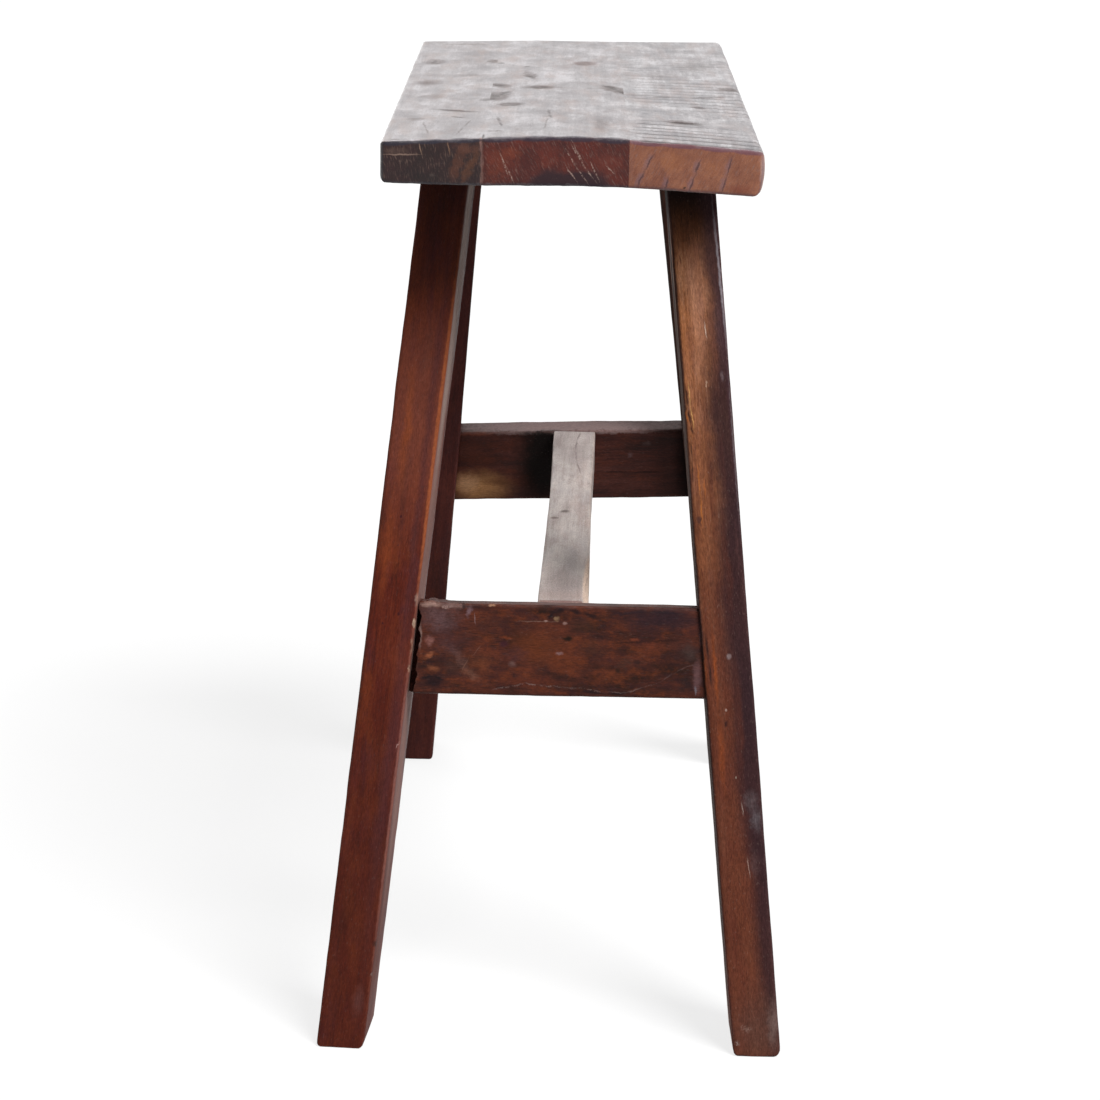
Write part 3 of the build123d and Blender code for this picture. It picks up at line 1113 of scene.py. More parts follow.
@dataclass
class Stretcher(Timber):
    """A stretcher between the inner faces of two legs.

    Where its left shoulder has drawn out of the joint, it stands back from the leg along its front face,
    by a ragged gap that widens downwards and closes at the bruised top corner.
    """

    left_stand: Stand | None = None
    right_stand: Stand | None = None
    leg_width: float = 32.2
    loose_gap: float = 0.0
    gap_depth: float = 9.0
    gap_start: float = 4.0  # below the top edge
    gap_opens_over: float = 5.0
    gap_shares: tuple[float, float] = (1.1, 1.3)  # of the loose gap: at the top, and more at the bottom
    gap_back: float = 2.5  # over which the gap ends, towards the back
    torn: float = 0.9
    bruise: float = 0.0
    bruise_reach: float = 8.0
    bruise_place: float = 1.1  # from the shoulder, in reaches
    bruise_depth: float = 3.0
    sunk: float = 0.7

    def lay(self, points: Array) -> Array:
        """Takes the worked vertices to their place on the bench.

        Args:
            points: The vertices in the timber's own frame, centred.

        Returns:
            Their places on the bench.
        """
        share = points[:, 2] / self.size[2] + 0.5
        local = points - np.array([self.size[0] / 2, 0, 0])
        left = self.left_stand.point(self.leg_width / 2 - self.sunk, 0, 0)
        right = self.right_stand.point(-self.leg_width / 2 + self.sunk, 0, 0)
        start = along_to(local, self.stand, left, self.left_stand.across)
        finish = along_to(local, self.stand, right, self.right_stand.across)
        if self.loose_gap:
            down = np.clip(-local[:, 0] / self.size[0], 0, 1)
            open_share = np.clip((-local[:, 0] - self.gap_start) / self.gap_opens_over, 0, 1)
            torn = self.torn * ripple(self.seed + 61, local[:, 0], longest=19, shortest=4)
            front = np.clip((local[:, 1] - self.size[1] / 2 + self.gap_depth) / self.gap_back, 0, 1)
            gap = self.loose_gap * (self.gap_shares[0] + self.gap_shares[1] * down)
            start = start + front * open_share * (gap + torn + self.sunk)
        local[:, 2] = start + share * (finish - start)
        beside = (local[:, 2] - start) / self.bruise_reach
        lumpy = 1 + 0.5 * ripple(self.seed + 62, local[:, 2], longest=9, shortest=3)
        lump = self.bruise * np.exp(-((beside - self.bruise_place) ** 2)) * lumpy
        local[:, 0] += np.where(points[:, 0] > self.size[0] / 2 - self.bruise_depth, lump, 0)
        return self.stand.lay(local)


@dataclass
class Rail(Timber):
    """The rail between the stretchers, with its waney right arris at the near end."""

    far_seat: Vector | None = None
    near_seat_normal: Vector | None = None
    far_seat_normal: Vector | None = None
    overrun: float = 21.5
    wane_width: float = 5.2
    wane_depth: float = 9.0
    wane_length: float = 95.0
    bark_relief: float = 0.5
    bark_end: float = 100.0
    left_shares: Curve = ((0, 0.505), (0.32, 0.47), (0.58, 0.452), (0.8, 0.47), (0.88, 0.485), (1, 0.48))
    right_shares: Curve = ((0, 0.505), (0.32, 0.49), (0.58, 0.478), (0.8, 0.49), (1, 0.505))
    sunk: float = 0.5

    def lay(self, points: Array) -> Array:
        """Takes the worked vertices to their place on the bench.

        Args:
            points: The vertices in the timber's own frame, centred.

        Returns:
            Their places on the bench.
        """
        width, thickness, _ = self.size
        share = points[:, 2] / self.size[2] + 0.5
        local = points + np.array([0, thickness / 2, 0])
        run = (self.far_seat - self.stand.origin).length
        place = (share * run + self.overrun) / (run + 2 * self.overrun)
        left, right = -width * spline(self.left_shares, place), width * spline(self.right_shares, place)
        local[:, 0] = left + (points[:, 0] / width + 0.5) * (right - left)
        start = along_to(local, self.stand, self.stand.origin, self.near_seat_normal) - self.sunk
        finish = along_to(local, self.stand, self.far_seat, self.far_seat_normal) + self.sunk
        local[:, 2] = start + share * (finish - start)
        edge = width * self.right_shares[0][1]
        corner = np.array([edge - self.wane_width, 0, 0])
        normal = np.cross([self.wane_width, self.wane_depth, 0], [self.wane_width, 0, self.wane_length])
        normal = normal / np.linalg.norm(normal) * np.sign(normal[0])
        rough = self.bark_relief * ripple(self.seed + 77, local[:, 2], longest=60, shortest=9)
        proud = np.maximum((local - corner) @ normal + np.where(local[:, 2] < self.bark_end, rough, 0), 0)
        local -= np.where(((local - corner) @ normal > 0)[:, None], proud[:, None] * normal, 0)
        return self.stand.lay(local)


@dataclass
class SeatBoard(Timber):
    """One board of the crowned seat."""

    frame: Frame = field(default_factory=Frame)
    left: float = 0.0
    right: float = 0.0
    seat_width: float = 243.0
    right_edge_thickness: float = 29.1
    undercut: float = 1.8
    bulge: float = 2.0
    ridged: bool = False
    outer_left: bool = False
    outer_right: bool = False
    edge_swing: float = 0.12
    left_rounds: tuple[float, float] = (2.8, 4.4)  # on top and below
    right_rounds: tuple[float, float] = (2.6, 5.0)
    right_more_worn: float = 3.0  # the right top arris, towards the far end
    end_arris_round: float = 1.3
    end_edge_round: float = 4.0
    joint_round: float = 0.05
    near_rise: float = 6.0
    near_tilt: float = 0.9
    far_rise: float = 0.9
    far_tilt: float = -2.1
    far_lift: float = 0.7
    near_under_rise: float = 2.7
    far_under_rise: float = 1.5
    furrow_spacing: float = 16.4
    furrow_depth: float = 1.1
    near_crown: Curve = ((0, 0), (0.27, 0.58), (0.49, 1), (0.68, 0.84), (0.83, 0.48), (1, 0))
    far_crown: Curve = ((0, 0), (0.2, 0.75), (0.35, 1), (0.6, 0.45), (1, 0))
    hollow: Curve = ((0, 0), (0.27, 0.26), (0.6, 1), (0.83, 0.5), (1, 0))

    def radii(self, points: Array) -> tuple[Array, Array, Array]:
        """How round each arris is at each vertex: worn outside, crisp in the glue joints.

        Args:
            points: The blank's vertices.

        Returns:
            Radii of the arrises along the board, and of its end arrises on the edges and on the faces.
        """
        nearness = points[:, 2] / self.size[2] + 0.5
        top = points[:, 1] > 0
        worn = 1 + self.edge_swing * ripple(self.seed + 5, points[:, 2], longest=240, shortest=50)
        none = 0 * worn
        left = np.where(top, *self.left_rounds) * worn if self.outer_left else none
        right_top = self.right_rounds[0] + self.right_more_worn * (1 - nearness)
        right = np.where(top, right_top, self.right_rounds[1]) * worn if self.outer_right else none
        chipped = 1 + 0.35 * ripple(self.seed + 6, points[:, 0] * 2, longest=90, shortest=9)
        side = np.where(points[:, 0] < 0, -1, 1)
        edges = np.where(np.isin(side, self.glued_sides), self.joint_round, self.end_edge_round)
        return np.where(points[:, 0] < 0, left, right), edges, self.end_arris_round * chipped

    def lay(self, points: Array) -> Array:
        """Takes the worked vertices to their place on the bench.

        Args:
            points: The vertices in the timber's own frame, centred.

        Returns:
            Their places on the bench.
        """
        frame = self.frame
        along = frame.half_length * (1 - 2 * (points[:, 2] / self.size[2] + 0.5))
        farness = along / frame.seat_length + 0.5
        level = points[:, 1] / self.size[1] + 0.5
        across = points[:, 0] / self.size[0] + 0.5
        seat_left = frame.seat_offset - self.seat_width / 2
        right = self.right
        if self.outer_right:
            right = self.right - self.undercut * (1 - level) + self.bulge * 4 * level * (1 - level)
        x = self.left + across * (right - self.left)
        share = np.clip((x - seat_left) / self.seat_width, -0.02, 1.02)
        near_top = self.near_rise * spline(self.near_crown, share) + self.near_tilt * (1 - 2 * share)
        far_top = self.far_rise * spline(self.far_crown, share) + self.far_tilt * (1 - 2 * share)
        far_top = far_top + self.far_lift
        under_share = np.clip((x - seat_left) / (self.seat_width - self.undercut), -0.02, 1.02)
        thick = frame.left_edge_thickness
        thick = thick + (self.right_edge_thickness - thick) * under_share
        lift = spline(self.hollow, under_share)
        near_under = self.near_under_rise * lift + self.near_tilt * (1 - 2 * under_share) - thick
        far_under = self.far_under_rise * lift + self.far_tilt * (1 - 2 * under_share) - thick
        top = near_top + (far_top - near_top) * farness
        under = near_under + (far_under - near_under) * farness
        z = frame.seat_height + under + level * (top - under)
        on_top = np.clip(level * 3 - 2, 0, 1)
        z += on_top * self.saw_marks(x - frame.seat_offset, along)
        return np.column_stack([x, along, z])

    def saw_marks(self, x: Array, y: Array) -> Array:
        """The relief of the top: furrows from the saw on the right board, and shallow waves on the others.

        Args:
            x: Place across the seat.
            y: Place along the seat.

        Returns:
            The height of the relief.
        """
        if self.ridged:
            return -self.furrow_depth * self.furrows(x, y)
        waves = ripple(self.seed + 8, y + 0.5 * x, longest=190, shortest=35)
        return 0.18 * waves * np.cos(x / 23 + y / 71)

    def furrows(self, x: Array, y: Array) -> Array:
        """How deep in a furrow each place of the top is, from 0 on a ridge to 1.

        The furrows run nearly straight across, 16 mm apart. They start beside the board's left edge, fade
        towards the far end, and are planed away in a patch near the gouge.

        Args:
            x: Place across the seat.
            y: Place along the seat.

        Returns:
            The depth's share.
        """
        lean, steep_share = 0.06, 0.14
        first, first_blur = 41, 1.4
        fade_middle, fade_blur = 80, 40
        patch_x, patch_y, patch_half_width, patch_half_length = 96, -193, 20, 9
        line = y - lean * x + 2.2 * ripple(21, y, longest=130, shortest=40)
        line = line + 0.9 * ripple(22, x + y, longest=160, shortest=60)
        saw = (line / self.furrow_spacing) % 1
        body = np.clip(0.78 + 0.4 * ripple(23, y * 0.7 + 0.5 * x, longest=260, shortest=90), 0.25, 1)
        ragged = 3 * ripple(24, y, longest=90, shortest=20)
        start = 1 / (1 + np.exp(-(x - first - ragged) / first_blur))
        flat_far = 1 / (1 + np.exp((y - fade_middle) / fade_blur))
        patch = ((x - patch_x) / patch_half_width) ** 4 + ((y - patch_y) / patch_half_length) ** 4
        planed = 1 - 0.9 * np.exp(-patch)
        cut = np.clip(saw / steep_share, 0, 1)
        wall = cut**2 * (3 - 2 * cut)
        return wall * np.clip((1 - saw) / (1 - steep_share), 0, 1) ** 2 * body * start * flat_far * planed

    def sawn_hollow(self, placed: Array) -> Array:
        """How much of a saw's furrow each vertex lies in.

        Args:
            placed: The vertices on the bench.

        Returns:
            A share from 0 to 1.
        """
        if not self.ridged:
            return np.zeros(len(placed))
        frame, below_top, end_arris = self.frame, 4, 1.4
        on_top = placed[:, 2] > frame.seat_height - below_top
        on_top &= np.abs(placed[:, 1]) < frame.half_length - end_arris
        deep = self.furrows(placed[:, 0] - frame.seat_offset, placed[:, 1])
        return np.where(on_top, np.clip(deep * 3.0 - 1.0, 0, 1), 0)


@dataclass
class Seat:
    """The crowned seat of three boards."""

    frame: Frame
    widths: dict[str, float] = field(default_factory=lambda: {"left": 64.5, "middle": 93.5, "right": 85.0})
    blank_thickness: float = 28.0
    cell: float = 2.0
    furrowed_cell: float = 1.4  # shorter, for the furrows' steep sides

    def top_marks(self) -> dict[str, Marks]:
        """The marks on the tops of the three boards.

        Returns:
            The marks by board. Places are across from the middle, up from the top, and towards the near end.
        """
        brown, deep, faint = "452E27", "36231E", "57453F"
        halo = {"soft": 0.55, "loose": 5.0, "patchy": True}
        gouge = {"soft": 0.45, "loose": 4.0, "patchy": True}
        left = (
            Mark((-105.5, 1, -142), (11, 8, 22), brown, 0.8, **halo),
            Mark((-105.5, 1, -142), (3, 8, 10), deep, 0.85, dent=0.4, **gouge),
            Mark((-60, 2, -142), (7, 8, 16), brown, 0.75, **halo),
            Mark((-105, 1, -10), (15, 8, 26), brown, 0.7, **DRIFT),
            Mark((-88, 1, -262), (26, 8, 9), faint, 0.6, **HAZE),
            Mark((-78, 1, -53), (15, 8, 10), faint, 0.5, **halo),
            Mark((-98, 1, 70), (12, 8, 16), faint, 0.4, **halo),
            Mark((-104, 1, 190), (8, 8, 9), faint, 0.5, **halo),
            Mark((-112, 0, 284), (6, 8, 4), brown, 0.7, soft=0.9),
            Mark((-77, 2, 152), (7, 8, 26), brown, 0.5, 57, **halo),
            Mark((-77, 2, 151), (3, 8, 22), deep, 1, 57, dent=0.5, soft=0.7, loose=3),
            Mark((-76, 2, 183), (2.6, 8, 8), deep, 0.85, 40, dent=0.3, soft=0.8, loose=3),
            *Plane(2).line([(-98, 205), (-95, 235), (-92, 262)], 1.1, faint, 0.6, loose=1.6),
            *Plane(2).line([(-66, 196), (-71, 232), (-74, 268)], 1.1, faint, 0.6, loose=1.6),
            Mark((-60, 3, 95), (7, 8, 9), deep, 0.6, dent=0.3, **gouge),
        )
        middle = (
            Mark((-54, 3, -130), (3.6, 8, 8), deep, 0.8, dent=0.3, **gouge),
            Mark((-34, 3, -104), (2.6, 8, 5), deep, 0.7, dent=0.2, **gouge),
            Mark((-31, 3, -48), (6, 8, 34), brown, 0.75, 8, **halo),
            Mark((-30, 3, -40), (2.8, 8, 19), deep, 0.8, 8, dent=0.4, **gouge),
            Mark((-52, 3, 14), (9, 8, 19), brown, 0.8, 18, **halo),
            Mark((-52, 3, 12), (4.2, 8, 11), deep, 0.85, 24, dent=0.5, **gouge),
            Mark((-22, 4, 27), (16, 8, 14), brown, 0.85, **halo),
            Mark((-23, 4, 28), (10, 8, 7), deep, 1, 12, dent=0.5, **gouge),
            *Plane(4).line([(-42, 22), (-17, 31), (8, 31), (34, 26)], 1.7, "5A443C", 0.6, loose=2.4),
            Mark((-53, 3, 76), (13, 8, 34), brown, 0.85, **halo),
            Mark((-48, 3, 60), (4.2, 8, 15), deep, 1, -14, dent=0.5, **gouge),
            Mark((-54, 3, 74), (3.8, 8, 15), deep, 0.95, 6, dent=0.4, **gouge),
            Mark((-57, 3, 92), (7, 8, 9), deep, 0.85, dent=0.3, **gouge),
            Mark((-42, 3, 122), (11, 8, 11), brown, 0.85, dent=0.3, **gouge),
            *Plane(3).line([(-49.5, 188), (-47.5, 212), (-45.6, 233)], 1.6, deep, 0.75, loose=1.6),
            *Plane(4).line([(-16, 152), (-15, 176), (-14, 198)], 1.6, deep, 0.7, loose=1.6),
            *Plane(4).line([(-16, 198), (-17, 224), (-18, 250)], 1, faint, 0.6, loose=1.6),
            *Plane(4).line([(-22, 186), (-12, 190)], 2.4, brown, 0.6, loose=2),
            Mark((9.5, 3, -127), (12, 8, 18), "6A443A", 0.85, dent=0.4, **halo),
            Mark((9, 3, -126), (5, 8, 7), "5A3A30", 0.6, **gouge),
            Mark((32, 4, 36), (12, 8, 36), brown, 0.85, 16, **halo),
            Mark((29, 4, 26), (4.2, 8, 20), deep, 0.95, 20, dent=0.5, **gouge),
            Mark((37, 4, 50), (4.4, 8, 18), deep, 0.9, 16, dent=0.4, **gouge),
            Mark((19, 4, 227), (6, 8, 42), faint, 0.55, **halo),
            Mark((-50, 3, 256), (7, 8, 5), brown, 0.6, **halo),
            Mark((-35.5, 3, 250), (3, 8, 2), deep, 0.8),
            Mark((-57, 3, 279), (1.8, 8, 13), deep, 0.8, dent=1),
        )
        right = (
            Mark((98, 2, 188), (16, 8, 14), "BEB8B8", 0.6, soft=0.9, loose=4),
            Mark((74, 3, 190), (17, 8, 15), brown, 0.8, **halo),
            Mark((73.5, 3, 190), (8, 8, 12), deep, 1, 82, dent=0.7, soft=0.5, loose=4),
            Mark((80, 3, 188), (5, 8, 9), deep, 0.9, 88, dent=0.4, **gouge),
            *Plane(2).line([(76, -120), (98, -124), (120, -129)], 4.4, deep, 0.65, loose=4),
            *Plane(2).line([(53, 68), (84, 55), (114, 42)], 3.8, deep, 0.65, loose=4),
            Mark((114, 1, 0), (11, 8, 13), brown, 0.8, dent=0.4, **halo),
            Mark((84, 2, -7.5), (2.4, 8, 4), deep, 0.8),
            Mark((87.5, 2, 107), (5, 8, 9), deep, 0.7, dent=0.3, **gouge),
            Mark((97, 2, -125), (24, 8, 74), "76706E", 0.5, **SHADE),
            Mark((62, 2, -60), (14, 8, 40), faint, 0.35, **SHADE),
        )
        return {"left": left, "middle": middle, "right": right}

    def end_marks(self) -> dict[str, Marks]:
        """The marks on the near ends of the three boards.

        Returns:
            The marks by board. Places are across from the middle, up from the top, and towards the near end.
        """
        end = Plane(self.frame.half_length, Face.END, into=8.0)
        spot, line = end.spot, end.line
        under = Mark((0, -28, 0), (160, 5, 330), "4A3228", 0.8, soft=0.3)
        rim, stain = {"soft": 0.5, "loose": 0.6}, {"soft": 0.9, "loose": 6.0, "patchy": True}
        joint = line([(-57.6, 6), (-57.0, -6), (-56.6, -16), (-57.0, -27)], 1.5, "A4786E", 0.85, dent=0.6)
        left = (
            under,
            spot((-71, -9), (20, 5), "58362A", 0.8, 70, soft=0.6, loose=5, patchy=True),
            spot((-64, -13), (20, 4), "5E3C2C", 0.8, 66, soft=0.7, loose=5, patchy=True),
            spot((-67, -3), (12, 4), "5C3A30", soft=0.8, loose=5, patchy=True),
            spot((-61, -22), (3, 6), "241618", 0.7, soft=0.9, loose=4),
            spot((-112, -5), (12, 3), "5E4A42", 0.6, soft=0.8, patchy=True),
            *line([(-121, -7.6), (-96, -7.2)], 0.7, "9A8072", 0.7),
            *line([(-97, 1), (-95, -7)], 0.6, "A0826E", 0.7),
            *line([(-79, 2), (-77, -7)], 0.6, "9A7660", 0.6),
            spot((-88, -20), (3, 1.6), "6A5C56", 0.4, soft=0.9),
            spot((-100, -20), (20, 5), "120D10", 0.6, **SHADE),
            *joint,
            *line([(-121, -1), (-100, 0.4), (-79, 1.8), (-57, 2.7)], 1.9, "282632", **rim),
        )
        saw_scratches = (
            [(-46, -4), (-41, -14), (-36, -25)], [(-44, -8), (-40, -20)], [(-4.4, -1), (3, -13), (12, -25)],
            [(-0.6, 1.5), (7, -11), (16.4, -23)], [(0, 3.5), (8.5, -13)], [(-4, -12), (4, -23)],
            [(11.7, -9), (18, -22)], [(22, -12), (27.4, -17)],
        )
        middle = (
            under,
            *joint,
            spot((-48, -12), (11, 16), "84402C", 0.5, soft=0.9, loose=7, patchy=True),
            spot((-38, -6), (10, 7), "904830", 0.45, soft=1, loose=7, patchy=True),
            spot((-14, -8), (14, 9), "763628", 0.35, soft=0.95, loose=8, patchy=True),
            spot((24, -10), (14, 12), "763C30", 0.5, soft=0.9, loose=7, patchy=True),
            spot((-31, -14), (6, 16), "421A18", 0.45, 8, **SHADE),
            spot((2, -5), (9, 5), "4A1C1A", 0.6, **SHADE),
            spot((-3, -26), (34, 13), "2C1A20", 0.95, soft=0.4, loose=7, broad=True),
            spot((-30, -27.5), (34, 3.4), "301A20", 0.85, soft=0.8, loose=3),
            *line([(-57, 2.8), (-34, 4.2), (-10, 4.8), (14, 4.6), (36.5, 3.7)], 2.6, "2A2633", **rim),
            *(
                mark
                for points in saw_scratches
                for mark in line(points, 0.65, "B4988C", 0.75, loose=1.3, dusty=True)
            ),
        )
        checks = (
            [(51, -3), (45.6, -14), (40.5, -26)], [(61, -17), (58.6, -27)],
            [(80.5, -6), (77.6, -16), (73.5, -28)], [(100.6, -4), (98, -16), (94.5, -28)],
        )
        right = (
            Mark((119, -13, 120), (6, 9, 90), "5A342A", 0.5, face=Face.NARROW, **stain),
            under,
            *(
                mark
                for points in checks
                for mark in line(points, 2.9, "826468", 0.7, soft=1.0, loose=2.2)
                + line([(x + 0.9, y - 0.4) for x, y in points], 0.8, "4A3234", loose=1.6)
            ),
            *line([(36.5, 3.5), (58, 2.2), (80, 0.9), (102, -0.6), (121, -2.4)], 2.2, "6C4652", **rim),
            spot((64, -9), (10, 9), "AE7048", 0.6, soft=1, loose=6, patchy=True),
            spot((88, -12), (9, 10), "AC704E", 0.5, soft=1, loose=6, patchy=True),
            spot((71.5, -25), (0.9, 0.9), "241818", 0.9),
            spot((75, -28), (4, 1.3), "34282A"),
            spot((108, -25), (12, 4), "7E4232", 0.6, **SMEAR),
            spot((121, -12), (2.2, 16), "B0938C", 0.7, soft=0.9),
            spot((38, -14), (2, 20), "8A5E50", 0.5, soft=0.9),
        )
        return {"left": left, "middle": middle, "right": right}

    def finishes(self) -> dict[str, TimberFinish]:
        """The three boards' finishes: thin worn lacquer over stain, dusty and silvery where light grazes it.

        Returns:
            The finishes by board.
        """
        top, end = self.top_marks(), self.end_marks()
        worn = {
            "cloud": 30.0, "streak": 10.0, "fibre": 1.4, "stretch": (9.0, 3.2, 1.4), "roughness": 0.34,
            "rough_swing": 0.06, "specular": 0.3, "sheen": 0.65, "dust": "6E5C56", "speckle": 0.1,
            "hollow_shade": "2E2422", "warm_share": 0.58, "cool_share": 0.35, "pore_strength": 0.3,
            "arris_strength": 0.45, "worn_and_sheen_top_only": True,
        }
        return {
            # The tops' pale grey palettes are partly a painted sheen: lighter than the worn wood, for the
            # silvery gloss where light grazes the top.
            "left": TimberFinish(
                "blackened_seat_board", "6A6164", "8E8688", "BAB4B7", "8C7064", "787478", "8E8688",
                "1A0C0C", "30191A", end_turn=-80, rim="22222E", rim_strength=0.4,
                marks=top["left"] + end["left"], **worn,
            ),
            "middle": TimberFinish(
                "red_stained_seat_board", "6C6366", "918A8C", "BEB8BB", "8E7268", "7A777A", "8E8688",
                "3A1210", "60241A", end_turn=-62, rim="2A2632", rim_strength=0.4,
                marks=top["middle"] + end["middle"], **worn,
            ),
            "right": TimberFinish(
                "brown_stained_seat_board", "666064", "8E888A", "BEBABC", "8C7670", "78797D", "8E8688",
                "7A4838", "A26A50", end_turn=62, rim="6A444C", rim_strength=0.4,
                marks=top["right"] + end["right"], dust_strength=0.2, **worn,
            ),
        }

    def make(self) -> None:
        """Makes the three boards."""
        frame = self.frame
        finishes = self.finishes()
        stand = Stand(Vector((frame.seat_offset, 0, frame.seat_height)), RIGHT_WAY, UP, Vector((0, -1, 0)))
        edge = frame.seat_offset - sum(self.widths.values()) / 2
        slots = {"left": "dark_seat_board", "middle": "red_seat_board", "right": "brown_seat_board"}
        for number, (name, width) in enumerate(self.widths.items()):
            SeatBoard(
                name=f"{name}_seat_board", node=f"seat_board_{name}", slot=slots[name],
                size=(width, self.blank_thickness, frame.seat_length), stand=stand, finish=finishes[name],
                seed=100 * number + 7, cell=self.cell,
                cell_along=self.furrowed_cell if name == "right" else self.cell, uneven=0.08, saw_round=0.5,
                frame=frame, left=edge, right=edge + width,
                ridged=name == "right", outer_left=name == "left", outer_right=name == "right",
                glued_sides={"left": (1,), "middle": (-1, 1), "right": (-1,)}[name],
            ).make()
            edge += width


